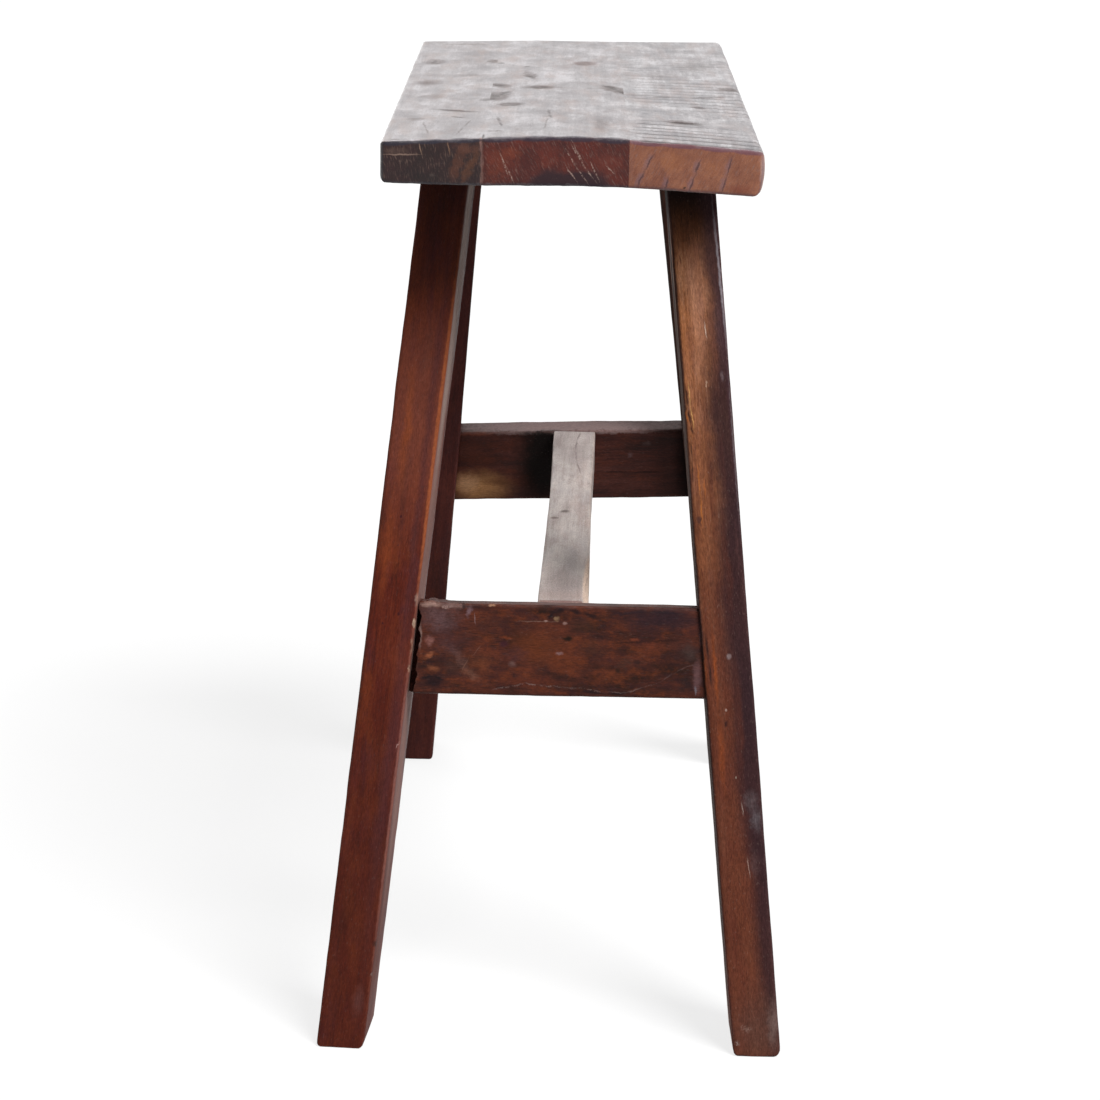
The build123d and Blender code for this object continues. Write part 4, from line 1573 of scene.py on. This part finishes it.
@dataclass
class Legs:
    """The four legs."""

    frame: Frame

    def near_left_marks(self) -> Marks:
        """The near left leg's marks: a rubbed inner arris, specks, the chips beside the loose shoulder,
        painted shade under the seat, towards the foot and in the shoulder's gap, and a painted sheen on the
        inner face.

        Returns:
            The marks.
        """
        spot, arris = Plane(-self.frame.leg_depth / 2).spot, 15.6
        return (
            spot((0, 430), (60, 120), "743E30", 0.75, into=60, soft=1, loose=6, broad=True),
            # Painted shade: darker towards the foot, as the light falls off down the leg.
            spot((0, 60), (60, 260), "421A12", 0.6, into=60, soft=0.8, loose=9, broad=True),
            # Painted shade: the leg's inner face is blackened where it shows through the loose shoulder's
            # gap.
            Mark((16.1, -14, 266), (3, 6.4, 34), "040302", 1, face=Face.NARROW, soft=0.2, loose=0.6),
            # Painted shadow of the seat over the top of the leg.
            Mark((0, 0, 600), (60, 60, 130), "140F10", 0.88, soft=0.95),
            # Painted sheen: the inner face is paled where light grazes it, most towards the top.
            Mark((16.1, -4, 330), (2.5, 22, 280), "97746B", 0.45, face=Face.NARROW, soft=0.4, loose=1),
            Mark((16.1, -4, 540), (2.5, 22, 190), "B8A39A", 0.7, face=Face.NARROW, soft=0.6, loose=1),
            spot((9.5, 430), (4.5, 200), "4A282A", 0.55, into=6, soft=0.95, loose=4, broad=True),
            spot((-5, 420), (5, 60), "8A4422", 0.55, **DRIFT),
            spot((-8, 330), (5, 45), "843E20", 0.5, **DRIFT),
            spot((2, 470), (6, 26), "5A3630", 0.45, soft=0.95, loose=5, patchy=True),
            spot((10, 210), (7, 230), "502A2A", 0.5, into=6, soft=0.9, loose=4, broad=True),
            spot((-16, 300), (3, 330), "42221E", 0.6, into=6, soft=0.9),
            spot((arris, 425), (2.3, 150), "96502E", 0.85, soft=0.5, loose=0.8),
            spot((arris, 175), (1.6, 175), "8A5C54", 0.65, soft=0.9, loose=0.6),
            spot((-1.9, 360), (1, 1.4), "38161A", 0.85),
            spot((-1.6, 341), (0.9, 1.1), "38161A"),
            spot((4.6, 295), (1.2, 1.6), "38161A", 0.85),
            spot((-5.4, 287), (0.9, 1.2), "38161A"),
            spot((14.2, 207), (0.5, 3.5), "A8807A", 0.7, 14),
            spot((arris, 70), (1.6, 2.6), "341A1C", dent=0.8),
            spot((arris, 49), (1.4, 2), "A08A84", 0.7, dent=0.5),
            spot((arris, 290), (1.4, 4), "C8A890", 0.9, soft=0.5, dent=0.5),
            spot((arris, 274), (1.2, 7), "A88470", dent=0.4),
            spot((arris, 259), (1.3, 3.5), "BE9A84", 0.85, dent=0.5),
            spot((arris, 306), (2.4, 6), "94786C", 0.7),
            spot((9, 30), (6, 16), "5E3A36", 0.5, **SMEAR),
        )

    def near_right_marks(self) -> Marks:
        """The near right leg's marks: orange brown where it has faded, purple black along its right side,
        painted shade under the seat and along the inner side, and a painted highlight on the right arris.

        Returns:
            The marks.
        """
        front, purple = Plane(-self.frame.leg_depth / 2), "301E22"
        spot, line = front.spot, front.line
        side = {"soft": 0.55, "loose": 4.0, "broad": True}
        fade = {"soft": 0.95, "loose": 4.0, "broad": True}
        grime = {"soft": 0.9, "loose": 5.0, "patchy": True}
        return (
            spot((-6, 100), (60, 420), "582A1F", 0.88, into=60, soft=0.65, loose=9, broad=True),
            # Painted shadow of the seat over the top of the leg.
            Mark((0, 0, 600), (160, 160, 70), "1A0F0D", 1, soft=0.7),
            spot((-2, 505), (9, 60), "B9846A", 0.5, **DRIFT),
            # Painted shade: the inner face, turned away from the light, is darkened.
            Mark((-16.1, 0, 300), (2.5, 30, 360), "241A17", 0.88, face=Face.NARROW, soft=0.3, loose=1),
            spot((18, 545), (20, 90), "38262A", 0.9, into=8, **side),
            spot((18, 425), (26, 120), "321F22", 0.93, into=9, **side),
            spot((16, 488), (13, 44), "70545A", 0.2, into=8, **HAZE),
            spot((18, 300), (27, 130), purple, 0.9, into=10, **side),
            spot((18, 190), (24, 120), purple, 0.9, into=9, **side),
            spot((11.3, 458), (1.6, 5), "7E6C70", 0.5, soft=0.9),
            spot((20, 70), (21, 120), purple, 0.85, into=8, **side),
            spot((7, 480), (4, 50), "6E4232", 0.5, **fade),
            spot((7, 400), (2.6, 40), "502C26", 0.3, **fade),
            spot((5, 330), (3.2, 60), "52291F", 0.4, **fade),
            spot((12, 345), (2, 24), "5A3A38", 0.5, soft=0.9, loose=3, patchy=True),
            spot((5, 225), (3.4, 60), "562B20", 0.45, **fade),
            spot((14.8, 470), (2.4, 150), "3A2428", soft=0.6, loose=0.8),
            # Painted highlight: grey lines on the rounded right arris where it catches the light.
            spot((14.3, 525), (1.3, 70), "948C92", 0.75, -1.4, soft=0.9, loose=0.7),
            spot((15, 410), (0.9, 70), "7C7478", 0.5, soft=1, loose=1),
            # Painted shade along the left arris, beside the shaded inner face.
            spot((-15.4, 490), (1.6, 130), "221614", 0.85, soft=0.7, loose=0.8),
            *line([(-13.9, 454), (-13.3, 438), (-12.4, 427), (-11.4, 421)], 1, "26120E", dent=0.5),
            *line([(-13, 417), (-13.4, 404), (-13.9, 388)], 0.9, "34201C", 0.75),
            *line([(-12, 456), (-11.6, 440), (-10.4, 424)], 0.6, "D09C60"),
            spot((-14.6, 433), (0.9, 5), "A85E28", 0.85),
            *line([(1.8, 495), (2.4, 484)], 0.5, "DCC2B0"),
            spot((-0.1, 454), (0.5, 3), "C8A890", 0.7),
            *line([(-10, 400), (-9.4, 378), (-9.8, 360)], 0.9, "AE6630", 0.75),
            spot((-6.5, 384), (0.7, 11), "A05C30", 0.6),
            spot((-11.6, 363), (2.4, 4.5), "3C2422", 0.75),
            *line([(-13.3, 286), (-12.4, 268), (-11.8, 250)], 1.2, "34201C", 0.85),
            spot((-8.6, 262), (2, 34), "9A4E26", 0.6, soft=0.9, loose=1.5),
            spot((-15.2, 262), (1.1, 26), "8E4A26", 0.6, soft=0.9),
            spot((-8.5, 205), (3.4, 34), "8A4422", 0.55, soft=0.9, broad=True),
            spot((1.4, 270), (2.2, 2.8), "8A7A7A", 0.65, loose=1.2),
            spot((-3.3, 234), (1.1, 1.4), "A88E84", 0.7, loose=0.8),
            spot((-4.1, 225), (1.6, 2.8), "2E1A1A"),
            spot((0, 188), (0.6, 1.2), "A89888", 0.7, loose=0.4),
            spot((8.5, 172), (7, 11), "6A5E60", 0.5, **grime),
            spot((11.5, 158), (6, 13), "6C6468", 0.5, **grime),
            spot((8, 128), (5, 16), "5A4444", 0.5, **grime),
            *line([(2.4, 171), (2.9, 162)], 0.5, "9A8880", 0.7),
            *line([(3.5, 133), (4.3, 119)], 0.5, "A88C80", 0.6),
            spot((2, 14), (24, 42), "553A32", 0.6, into=8, **HAZE),
            spot((12.5, 18), (5.5, 24), "7A645E", 0.65, 6, soft=0.9, loose=3, patchy=True),
            spot((-13, 6), (3, 3), "A8968E", 0.6, loose=3, dusty=True),
            spot((-6, 16), (5, 3), "8E7268", 0.5, 30, loose=3, dusty=True),
        )

    def finish(self, side: Side, end: End) -> TimberFinish:
        """The finish of one leg.

        Args:
            side: Which side it stands on.
            end: Which end it stands at.

        Returns:
            The finish.
        """
        if end.way < 0 and side is Side.LEFT:
            return TimberFinish(
                "mahogany_stained_leg", "3A1812", "541F14", "682E1C", "78381C", "46222A", "7C4634",
                warm_share=0.5, cool_share=0.45, dust_strength=0.12, pore_strength=0.35, arris_strength=0.25,
                marks=self.near_left_marks(),
            )
        if end.way < 0:
            return TimberFinish(
                "half_faded_leg", "5A3424", "8E5A3C", "B47E5E", "AE6E44", "744A3E", "5A4040", "3A2624",
                "5A4440",
                pith=(-60, 20), fibre=1.2, dust="A88C80", dust_strength=0.3, pore_strength=0.7,
                arris_strength=0.3, speckle=0.2, marks=self.near_right_marks(),
            )
        if side is Side.LEFT:
            return TimberFinish(
                "red_stained_far_leg", "3A1C19", "512622", "62312A", "663226", "422628", "5A3430",
                dust_strength=0.1,
            )
        return TimberFinish(
            "dark_stained_far_leg", "22140F", "34201B", "462C24", "42261C", "2A1C1E", "3E3230",
            dust_strength=0.1, arris_strength=0.35,
        )

    def make(self) -> None:
        """Makes the four legs."""
        frame = self.frame
        length = frame.shoulder_height / math.cos(frame.splay)
        worn_feet, usual_foot = {"near_left": (4.2, 4.8), "near_right": (4.0, 6.8)}, (2.8, 3.4)
        for number, (end, end_name) in enumerate(((frame.near, "near"), (frame.far, "far"))):
            for side in Side:
                side_name = side.name.lower()
                stand = frame.leg_stand(side, end)
                if end.way < 0 and side is Side.LEFT:
                    stand = stand.turned(frame.near_left_turn)
                place = f"{end_name}_{side_name}"
                Leg(
                    name=f"{place}_leg", node=f"leg_{place}", slot="stained_leg",
                    size=(frame.leg_width, frame.leg_depth, length), stand=stand,
                    finish=self.finish(side, end),
                    seed=1000 + 100 * number + 37 * side.value, top_height=frame.shoulder_height,
                    foot_rounds=worn_feet.get(place, usual_foot),
                ).make()


@dataclass
class Stretchers:
    """The two stretchers and the rail between them."""

    frame: Frame
    rail_width: float = 34.5
    rail_thickness: float = 28.0
    blank_length: float = 214.0  # before each end is drawn to its leg
    loose_gap: float = 1.3
    bruise: float = 1.2

    def near_marks(self) -> Marks:
        """The near stretcher's marks, placed up from its top, out from its middle and along it.

        Returns:
            The marks.
        """
        front = Plane(self.frame.stretcher_thickness / 2)
        spot, line = front.spot, front.line
        pale, black = "7C6661", "1C1214"
        blot = {"soft": 0.95, "loose": 6.0, "patchy": True}
        cloud = {"soft": 0.95, "loose": 6.0, "broad": True}
        clouds = (
            spot((-8, 70), (12, 46), "2A1C22", 0.9, **cloud),
            spot((-30, 86), (14, 18), "34201F", 0.7, **cloud),
            spot((-27, -14), (20, 30), "64321C", 0.75, **cloud),
            spot((-38, 4), (10, 22), "6E361F", 0.6, **blot),
            spot((-40, -52), (10, 15), "6C3B26", 0.65, **blot),
            spot((-47, 36), (7, 18), "6E3720", 0.65, **blot),
            spot((-27, 62), (6, 22), "6C3523", 0.65, **blot),
            spot((-52, -20), (5, 34), "5E2C1C", 0.6, **blot),
            spot((-45, 8), (5, 12), "743922", 0.5, **blot),
            spot((-12, -48), (7, 20), "3A201C", 0.7, **cloud),
            spot((-14, 16), (8, 16), "3C241C", 0.65, **cloud),
            spot((-28, 22), (9, 14), "46281C", 0.6, **blot),
            spot((-38, 74), (7, 12), "2C1716", 0.8, **blot),
            spot((-38, 46), (5, 10), "3A2A24", 0.65, **blot),
            spot((-52, 86), (8, 9), "26191A", 0.8, **blot),
            spot((-34, -28), (8, 12), "40262A", 0.55, **blot),
            spot((-32, -68), (22, 26), "2E1C1B", 0.35, **cloud),
            spot((-22, -74), (16, 20), "422829", 0.75, **blot),
            spot((-42, -70), (10, 12), "4E312A", 0.5, **blot),
        )
        bruises = (
            spot((-7, -81), (14, 22), "644848", 0.75, soft=0.9, loose=6, patchy=True),
            spot((-14, -80), (9, 16), "5C4446", 0.5, soft=0.9, loose=5, patchy=True),
            spot((-1, -86), (2.6, 10), "96786E", into=9, soft=0.8),
            spot((-1.5, -70), (3, 12), "806660", 0.7, into=7, soft=0.9, loose=3, patchy=True),
            spot((-1, -64.2), (3, 1.8), "281A1C", 0.85, dent=0.8),
            spot((-5, -60.5), (6, 2.2), "786066", 0.7, -12, loose=3.4, soft=0.9),
            spot((-2.4, -76), (1.6, 5), "9C8078", 0.7, **DUSTY),
            spot((-0.8, -45.4), (1.1, 3.4), "B08468", 0.85, loose=1.2, dent=0.3),
            spot((-25.8, -87.2), (5.5, 3.6), "865A54", 0.7, **SMEAR),
            spot((-35.3, -87), (2.4, 5), "94563A", 0.7, 30, soft=0.9, loose=2.4),
            spot((-44, -84), (3, 6), "7E4A32", 0.7, -20, **SMEAR),
            spot((-53, -84), (7.5, 12), "1E1215", 0.92, soft=0.8, loose=3),
            spot((-22, -93.2), (12, 1.6), "8E766F", 0.7, soft=0.8, loose=1.4),
            spot((-38, -66), (13, 5), "76524A", 0.5, 35, soft=0.95, loose=5, patchy=True),
            spot((-30, -74), (7, 10), "543A3A", 0.5, **blot),
            spot((-48, -58), (9, 4), "7E5444", 0.5, 60, soft=0.9, loose=4, patchy=True),
            spot((-46, 93.5), (17, 4.2), "66494A", 0.75, soft=0.9, loose=2.4),
            spot((-30, 88), (8, 7), "4A3A36", 0.6, soft=0.95, loose=4, patchy=True),
            spot((-15, 95.5), (16, 1.8), "6A5054", 0.7, loose=1.2),
            spot((-55.5, 92.5), (4.5, 1.2), "76727A", 0.5, loose=1.6),
        )
        specks = (
            spot((-22.6, -35), (1.6, 7), "763A22", 0.6, soft=0.9, loose=1.8),
            spot((-26.7, -36.8), (3.2, 4.6), "381C24", 0.75),
            spot((-9.1, -1.6), (2.4, 2.8), "86694F", 0.75),
            spot((-10.6, -8.9), (0.9, 1.8), "A0827A", 0.75, loose=0.8),
            spot((-12, 4), (1.4, 2.4), "94746C", 0.7, loose=1),
            spot((-22.4, 6.1), (2.4, 4.6), "16110C", 0.9, soft=0.7, loose=1.6),
            spot((-32.7, 0.3), (2, 3), "806464", 0.7, loose=2.2),
            spot((-40, -31), (3.2, 3.6), "6E5450", 0.6, soft=0.9),
            spot((-22, 51), (1.4, 5), "7C3E2A", 0.5, soft=0.9, loose=1.6),
            spot((-43, 40), (2.4, 3), "261812", soft=0.8, loose=1.4),
            spot((-37, 53), (2, 3.6), "2A1A18", 0.75, soft=0.8, loose=1.6),
        )
        dark_lines = (
            *line([(-9.5, -8), (-3.8, -3), (-2.4, 5)], 2, black, 0.85, loose=1.6),
            *line([(-2.4, 5), (-4.8, 15), (-7.8, 28)], 2.2, black, 0.85, loose=1.6),
            *line([(-24.5, 35.7), (-23, 60), (-21.4, 82)], 1, "26120F", 0.7, loose=1.6),
            *line([(-57.4, 16), (-59.2, 34), (-58.4, 46)], 1.6, black, loose=1.4),
            *line([(-51.5, -93), (-49.4, -84), (-52.5, -76)], 1.4, black, 0.9, loose=1.2),
            *line([(-5, 36), (-2.6, 60), (-4, 86)], 1.2, "22181E", 0.7, loose=2),
        )
        cracks = (
            *line([(-57.6, -44), (-55.2, -32), (-52.9, -22)], 0.9, pale, 0.5, **DUSTY),
            *line([(-52.9, -22), (-54.4, -11), (-55.2, 5)], 0.9, pale, 0.75, **DUSTY),
            *line([(-55.2, 5), (-55.8, 18), (-57.9, 30)], 0.7, pale, 0.5, **DUSTY),
            *line([(-57.9, 34), (-58, 46), (-54.3, 57)], 0.65, "6E5A55", 0.5, loose=1.4),
            *line([(-54.3, 57), (-50.2, 68.6), (-43, 79)], 0.6, "665250", 0.42, loose=2, dusty=True),
            *line([(-43, 79), (-39.6, 86), (-38.2, 92)], 0.6, "665250", 0.35, loose=2),
            *line([(-11.2, -28), (-10.9, -2)], 0.55, "7C6258", 0.5, loose=1.2),
            *line([(-35, -58), (-28, -52)], 0.5, "7C5A4E", 0.4, loose=1.2),
            *line([(-48, -66), (-36, -60)], 0.6, "7C5848", 0.4, loose=1.4),
            *line([(-14, -56), (-6, -57)], 0.5, "8A7070", 0.55, loose=1.4),
        )
        return clouds + bruises + specks + dark_lines + cracks

    def far_marks(self) -> Marks:
        """The far stretcher's marks, placed as the near one's are, with the painted shadows of the rail and
        the far right leg.

        Returns:
            The marks.
        """
        front = Plane(self.frame.stretcher_thickness / 2)
        spot, line = front.spot, front.line
        return (
            spot((-50, -78), (21, 36), "BC885A", 0.95, soft=1, loose=5, broad=True),
            spot((-46, -88), (13, 15), "D0A078", 0.9, soft=1, loose=4),
            # Paler along the top face: pale dust, and partly a painted sheen where light grazes it.
            Mark((-1, 0, 0), (3, 16, 130), "9E8A88", 0.55, soft=0.4),
            spot((-45, -62), (6, 16), "5E3A26", 0.7, soft=0.9, loose=3, broad=True),
            # Painted shadows: of the rail, just left of it, and of the far right leg at the right end.
            spot((-26, -24), (66, 30), "0C0908", 0.97, soft=0.7, loose=4),
            spot((-27, 97), (70, 18), "100B0B", 0.92, soft=0.8, loose=3),
            spot((-1.4, -78), (2, 22), "7E4634", 0.6, soft=0.9),
            *line([(-37, 20), (-37.6, 50), (-37.8, 74)], 1.2, "221312", 0.75),
            spot((-22, 48), (3, 4), "6A5658", 0.5, **SMEAR),
            spot((-12, 62), (3, 5), "62504E", 0.4, **SMEAR),
        )

    def rail_marks(self) -> Marks:
        """The rail's marks, placed across from its middle, down from its top and along from its near end.

        Returns:
            The marks.
        """
        top = Plane(0)
        spot, line = top.spot, top.line
        return (
            *line([(5.4, 466), (2.6, 440), (1.8, 408)], 1.3, "5A4644", 0.85, loose=1.2),
            *line([(1.8, 408), (3.4, 372), (7.2, 336)], 1, "6A5452", 0.75, loose=1.2),
            spot((-3, 227), (4.6, 6), "4E403A", 0.85, 25, loose=2.4, soft=0.8, dent=0.3),
            spot((-2, 240), (7, 20), "8E827E", 0.5, **SMEAR),
            spot((-10.4, 208), (4, 4), "5E4E4A", 0.75, 25, loose=1.4),
            spot((5, 98), (12, 50), "86807E", 0.5, **HAZE),
            spot((0, 40), (24, 60), "706664", 0.7, soft=0.9),
            spot((0, 16), (60, 16), "8C7A74", 0.5, into=6, soft=0.9),
            spot((0, 0), (60, 6), "6A4640", into=6, soft=0.6, loose=0.6),
            Mark((19, 4, 44), (7.5, 12, 88), "C8B09E", 0.95, soft=0.3, loose=1),
            spot((-15, 150), (2, 60), "6E645E", 0.4, soft=0.9),
            spot((0, 430), (60, 120), "766B69", 0.5, **HAZE),
        )

    def make(self) -> None:
        """Makes the stretchers and the rail."""
        frame = self.frame
        finishes = {
            "near": TimberFinish(
                "smoky_stained_stretcher", "25140F", "3F2019", "562B1F", "70371D", "2B181B", "64463F",
                streak=7.0, cloud=17.0, spread=(0.13, 0.13, 0.075), stretch=(14.0, 5.0, 1.6),
                pith=(20.0, 60.0), warm_share=0.42, cool_share=0.6, dust_strength=0.08, arris_strength=0.3,
                marks=self.near_marks(),
            ),
            "far": TimberFinish(
                "shaded_stained_stretcher", "2C1A18", "44241F", "54302A", "5C2E20", "34201F", "74544E",
                streak=7.0, cloud=19.0, pith=(20.0, 60.0), dust_strength=0.1, arris_strength=0.3,
                marks=self.far_marks(),
            ),
        }
        for name, end in (("near", frame.near), ("far", frame.far)):
            left, right = frame.leg_stand(Side.LEFT, end), frame.leg_stand(Side.RIGHT, end)
            Stretcher(
                name=f"{name}_stretcher", node=f"stretcher_{name}", slot="stained_stretcher",
                size=(frame.stretcher_height, frame.stretcher_thickness, self.blank_length),
                stand=frame.stretcher_stand(end), finish=finishes[name], seed=2000 + end.way,
                cell=1.6, cell_along=1.8, left_stand=left, right_stand=right, leg_width=frame.leg_width,
                loose_gap=self.loose_gap if end.way < 0 else 0.0,
                bruise=self.bruise if end.way < 0 else 0.0,
            ).make()
        start, finish = frame.rail_seat(frame.near), frame.rail_seat(frame.far)
        along = (finish - start).normalized()
        across = along.cross(UP).normalized()
        Rail(
            name="waney_rail", node="centre_rail", slot="grey_rail",
            size=(self.rail_width, self.rail_thickness, (finish - start).length),
            stand=Stand(start, across, along.cross(across), along),
            finish=TimberFinish(
                "weathered_grey_rail", "83746F", "A0948E", "B4A8A2", "A48E85", "8C8280", "AE998D",
                "5A4A44", "7A6A62", cloud=16.0, warm_share=0.5, cool_share=0.5, specular=0.4,
                pore_strength=0.3, arris_strength=0.35, dust_strength=0.15, marks=self.rail_marks(),
            ),
            seed=3000, cell=2.0, cell_along=2.5, far_seat=finish,
            near_seat_normal=frame.stretcher_stand(frame.near).depth,
            far_seat_normal=frame.stretcher_stand(frame.far).depth,
        ).make()


@dataclass
class Studio:
    """The floor, the lights, the white surroundings and the camera."""

    focal_pixels: float = 3071.0
    image_pixels: float = 1100.0
    camera_place: Triple = (-11.306, -2228.77, 895.46)
    pitch: float = 15.784
    roll: float = -1.1954
    yaw: float = -0.0607
    shade_light: float = 0.1
    floor_size: float = 60.0  # metres
    floor_grey: float = 0.2  # the light that a shadow can take away
    floor_brightness: float = 0.78  # the light that stays in the shadow
    lamp_distance: float = 5.0  # metres

    def make(self) -> None:
        """Sets the studio up."""
        self.make_camera()
        self.make_world()
        self.make_floor()
        self.make_lamp("key_light", azimuth=46, elevation=52, strength=4.4, spread=30)
        self.make_lamp("fill_light", azimuth=-140, elevation=38, strength=1.4, spread=70)

    def make_camera(self) -> None:
        """Stands the camera where the photograph was taken."""
        pitch, roll, yaw = (math.radians(angle) for angle in (self.pitch, self.roll, self.yaw))
        forward = Vector((math.sin(yaw) * math.cos(pitch), math.cos(yaw) * math.cos(pitch), -math.sin(pitch)))
        level = Vector((math.cos(yaw), -math.sin(yaw), 0))
        below = forward.cross(level)
        right = level * math.cos(roll) + below * math.sin(roll)
        down = below * math.cos(roll) - level * math.sin(roll)
        data = bpy.data.cameras.new("camera")
        data.sensor_width = 36.0
        data.lens = data.sensor_width * self.focal_pixels / self.image_pixels
        data.clip_start, data.clip_end = 0.05, 200.0
        camera = bpy.data.objects.new("camera", data)
        bpy.context.collection.objects.link(camera)
        turn = Matrix((right, -down, -forward)).transposed().to_4x4()
        camera.matrix_world = Matrix.Translation(Vector(self.camera_place) * MM) @ turn
        bpy.context.scene.camera = camera

    def make_world(self) -> None:
        """Lights the shade softly, and shows white to the camera and in reflections."""
        world = bpy.data.worlds.new("studio")
        bpy.context.scene.world = world
        tree = empty_tree(world)
        light = add_node(tree, "Background", {"Color": WHITE, "Strength": self.shade_light})
        white = add_node(tree, "Background", {"Color": WHITE, "Strength": 1.0})
        mixed = add_node(tree, "MixShader", {0: self.seen(tree), 1: light, 2: white})
        add_node(tree, "OutputWorld", {"Surface": mixed})

    def seen(self, tree: Tree) -> Source:
        """Adds the test for a ray that shows the surroundings, straight or in a gloss.

        Args:
            tree: The tree to add to.

        Returns:
            One for camera, glossy and transmission rays, and else zero.
        """
        path = add_node(tree, "LightPath")
        gloss = add_node(
            tree, "Math",
            {0: path.outputs["Is Glossy Ray"], 1: path.outputs["Is Transmission Ray"]}, operation="MAXIMUM",
        )
        return add_node(tree, "Math", {0: path.outputs["Is Camera Ray"], 1: gloss}, operation="MAXIMUM")

    def make_floor(self) -> None:
        """Lays a pale floor that keeps the bench's shadow."""
        bpy.ops.object.select_all(action="DESELECT")
        bpy.ops.mesh.primitive_plane_add(size=self.floor_size, location=(0, 0, 0))
        floor = bpy.context.object
        floor.name = floor.data.name = "floor"
        material = bpy.data.materials.new("pale_floor")
        tree = empty_tree(material)
        paint = add_node(tree, "BsdfDiffuse", {"Color": (*[self.floor_grey] * 3, 1)})
        glow = add_node(tree, "Emission", {"Color": WHITE, "Strength": self.floor_brightness})
        none = add_node(tree, "Emission", {"Strength": 0.0})
        shown = add_node(tree, "MixShader", {0: self.seen(tree), 1: none, 2: glow})
        both = add_node(tree, "AddShader", {0: paint, 1: shown})
        add_node(tree, "OutputMaterial", {"Surface": both})
        floor.data.materials.append(material)

    def make_lamp(self, name: str, azimuth: float, elevation: float, strength: float, spread: float) -> None:
        """Hangs a wide soft lamp far off.

        Args:
            name: The lamp's name.
            azimuth: Degrees to the right of the camera's side of the bench.
            elevation: Degrees above the floor.
            strength: Light on a surface that faces it.
            spread: How wide it looks, in degrees.
        """
        data = bpy.data.lights.new(name, "SUN")
        data.energy, data.angle = strength, math.radians(spread)
        lamp = bpy.data.objects.new(name, data)
        bpy.context.collection.objects.link(lamp)
        turn, rise = math.radians(azimuth), math.radians(elevation)
        towards = Vector((math.sin(turn) * math.cos(rise), -math.cos(turn) * math.cos(rise), math.sin(rise)))
        lamp.rotation_euler = towards.to_track_quat("Z", "Y").to_euler()
        lamp.location = towards * self.lamp_distance


@dataclass(frozen=True)
class DowelFinish:
    """Beech dowel rod, turned and unfinished: pale, with short fine flecks."""

    name: str = "beech_dowel"
    flecks_per_metre: Triple = (60, 1500, 1500)  # flecks 0.7 mm wide and 17 mm long
    pale: str = "D6B892"
    fleck: str = "B08A62"

    def material(self) -> bpy.types.Material:
        """Builds the finish.

        Returns:
            The material.
        """
        material = bpy.data.materials.new(self.name)
        tree = empty_tree(material)
        place = add_node(tree, "TexCoord")
        drawn = add_node(tree, "Mapping", {"Vector": place.outputs["Object"], "Scale": self.flecks_per_metre})
        flecks = add_node(tree, "TexNoise", {"Vector": drawn, "Scale": 1.0, "Detail": 3.0})
        ramp = add_node(tree, "ValToRGB", {"Fac": flecks})
        ramp.color_ramp.elements[0].color = linear(self.fleck)
        ramp.color_ramp.elements[1].color = linear(self.pale)
        shader = add_node(
            tree, "BsdfPrincipled",
            {"Base Color": ramp, "Roughness": 0.6, "IOR": 1.5, "Specular IOR Level": 0.3},
        )
        add_node(tree, "OutputMaterial", {"Surface": shader})
        return material


def main() -> None:
    """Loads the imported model, and makes the bench and the studio."""
    logging.basicConfig(level=logging.INFO, format="%(name)s: %(message)s")
    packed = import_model()
    bpy.context.scene.view_settings.view_transform = "Standard"
    frame = Frame()
    Studio().make()
    Seat(frame).make()
    Legs(frame).make()
    Stretchers(frame).make()
    dowels = DowelFinish().material()
    for name in ("seat_dowels_left", "seat_dowels_right"):
        mesh = packed["nodes"][name].data
        mesh.materials.clear()
        mesh.materials.append(dowels)
        LOG.info("%s: dressed as %s", name, dowels.name)


if __name__ == "__main__":
    main()
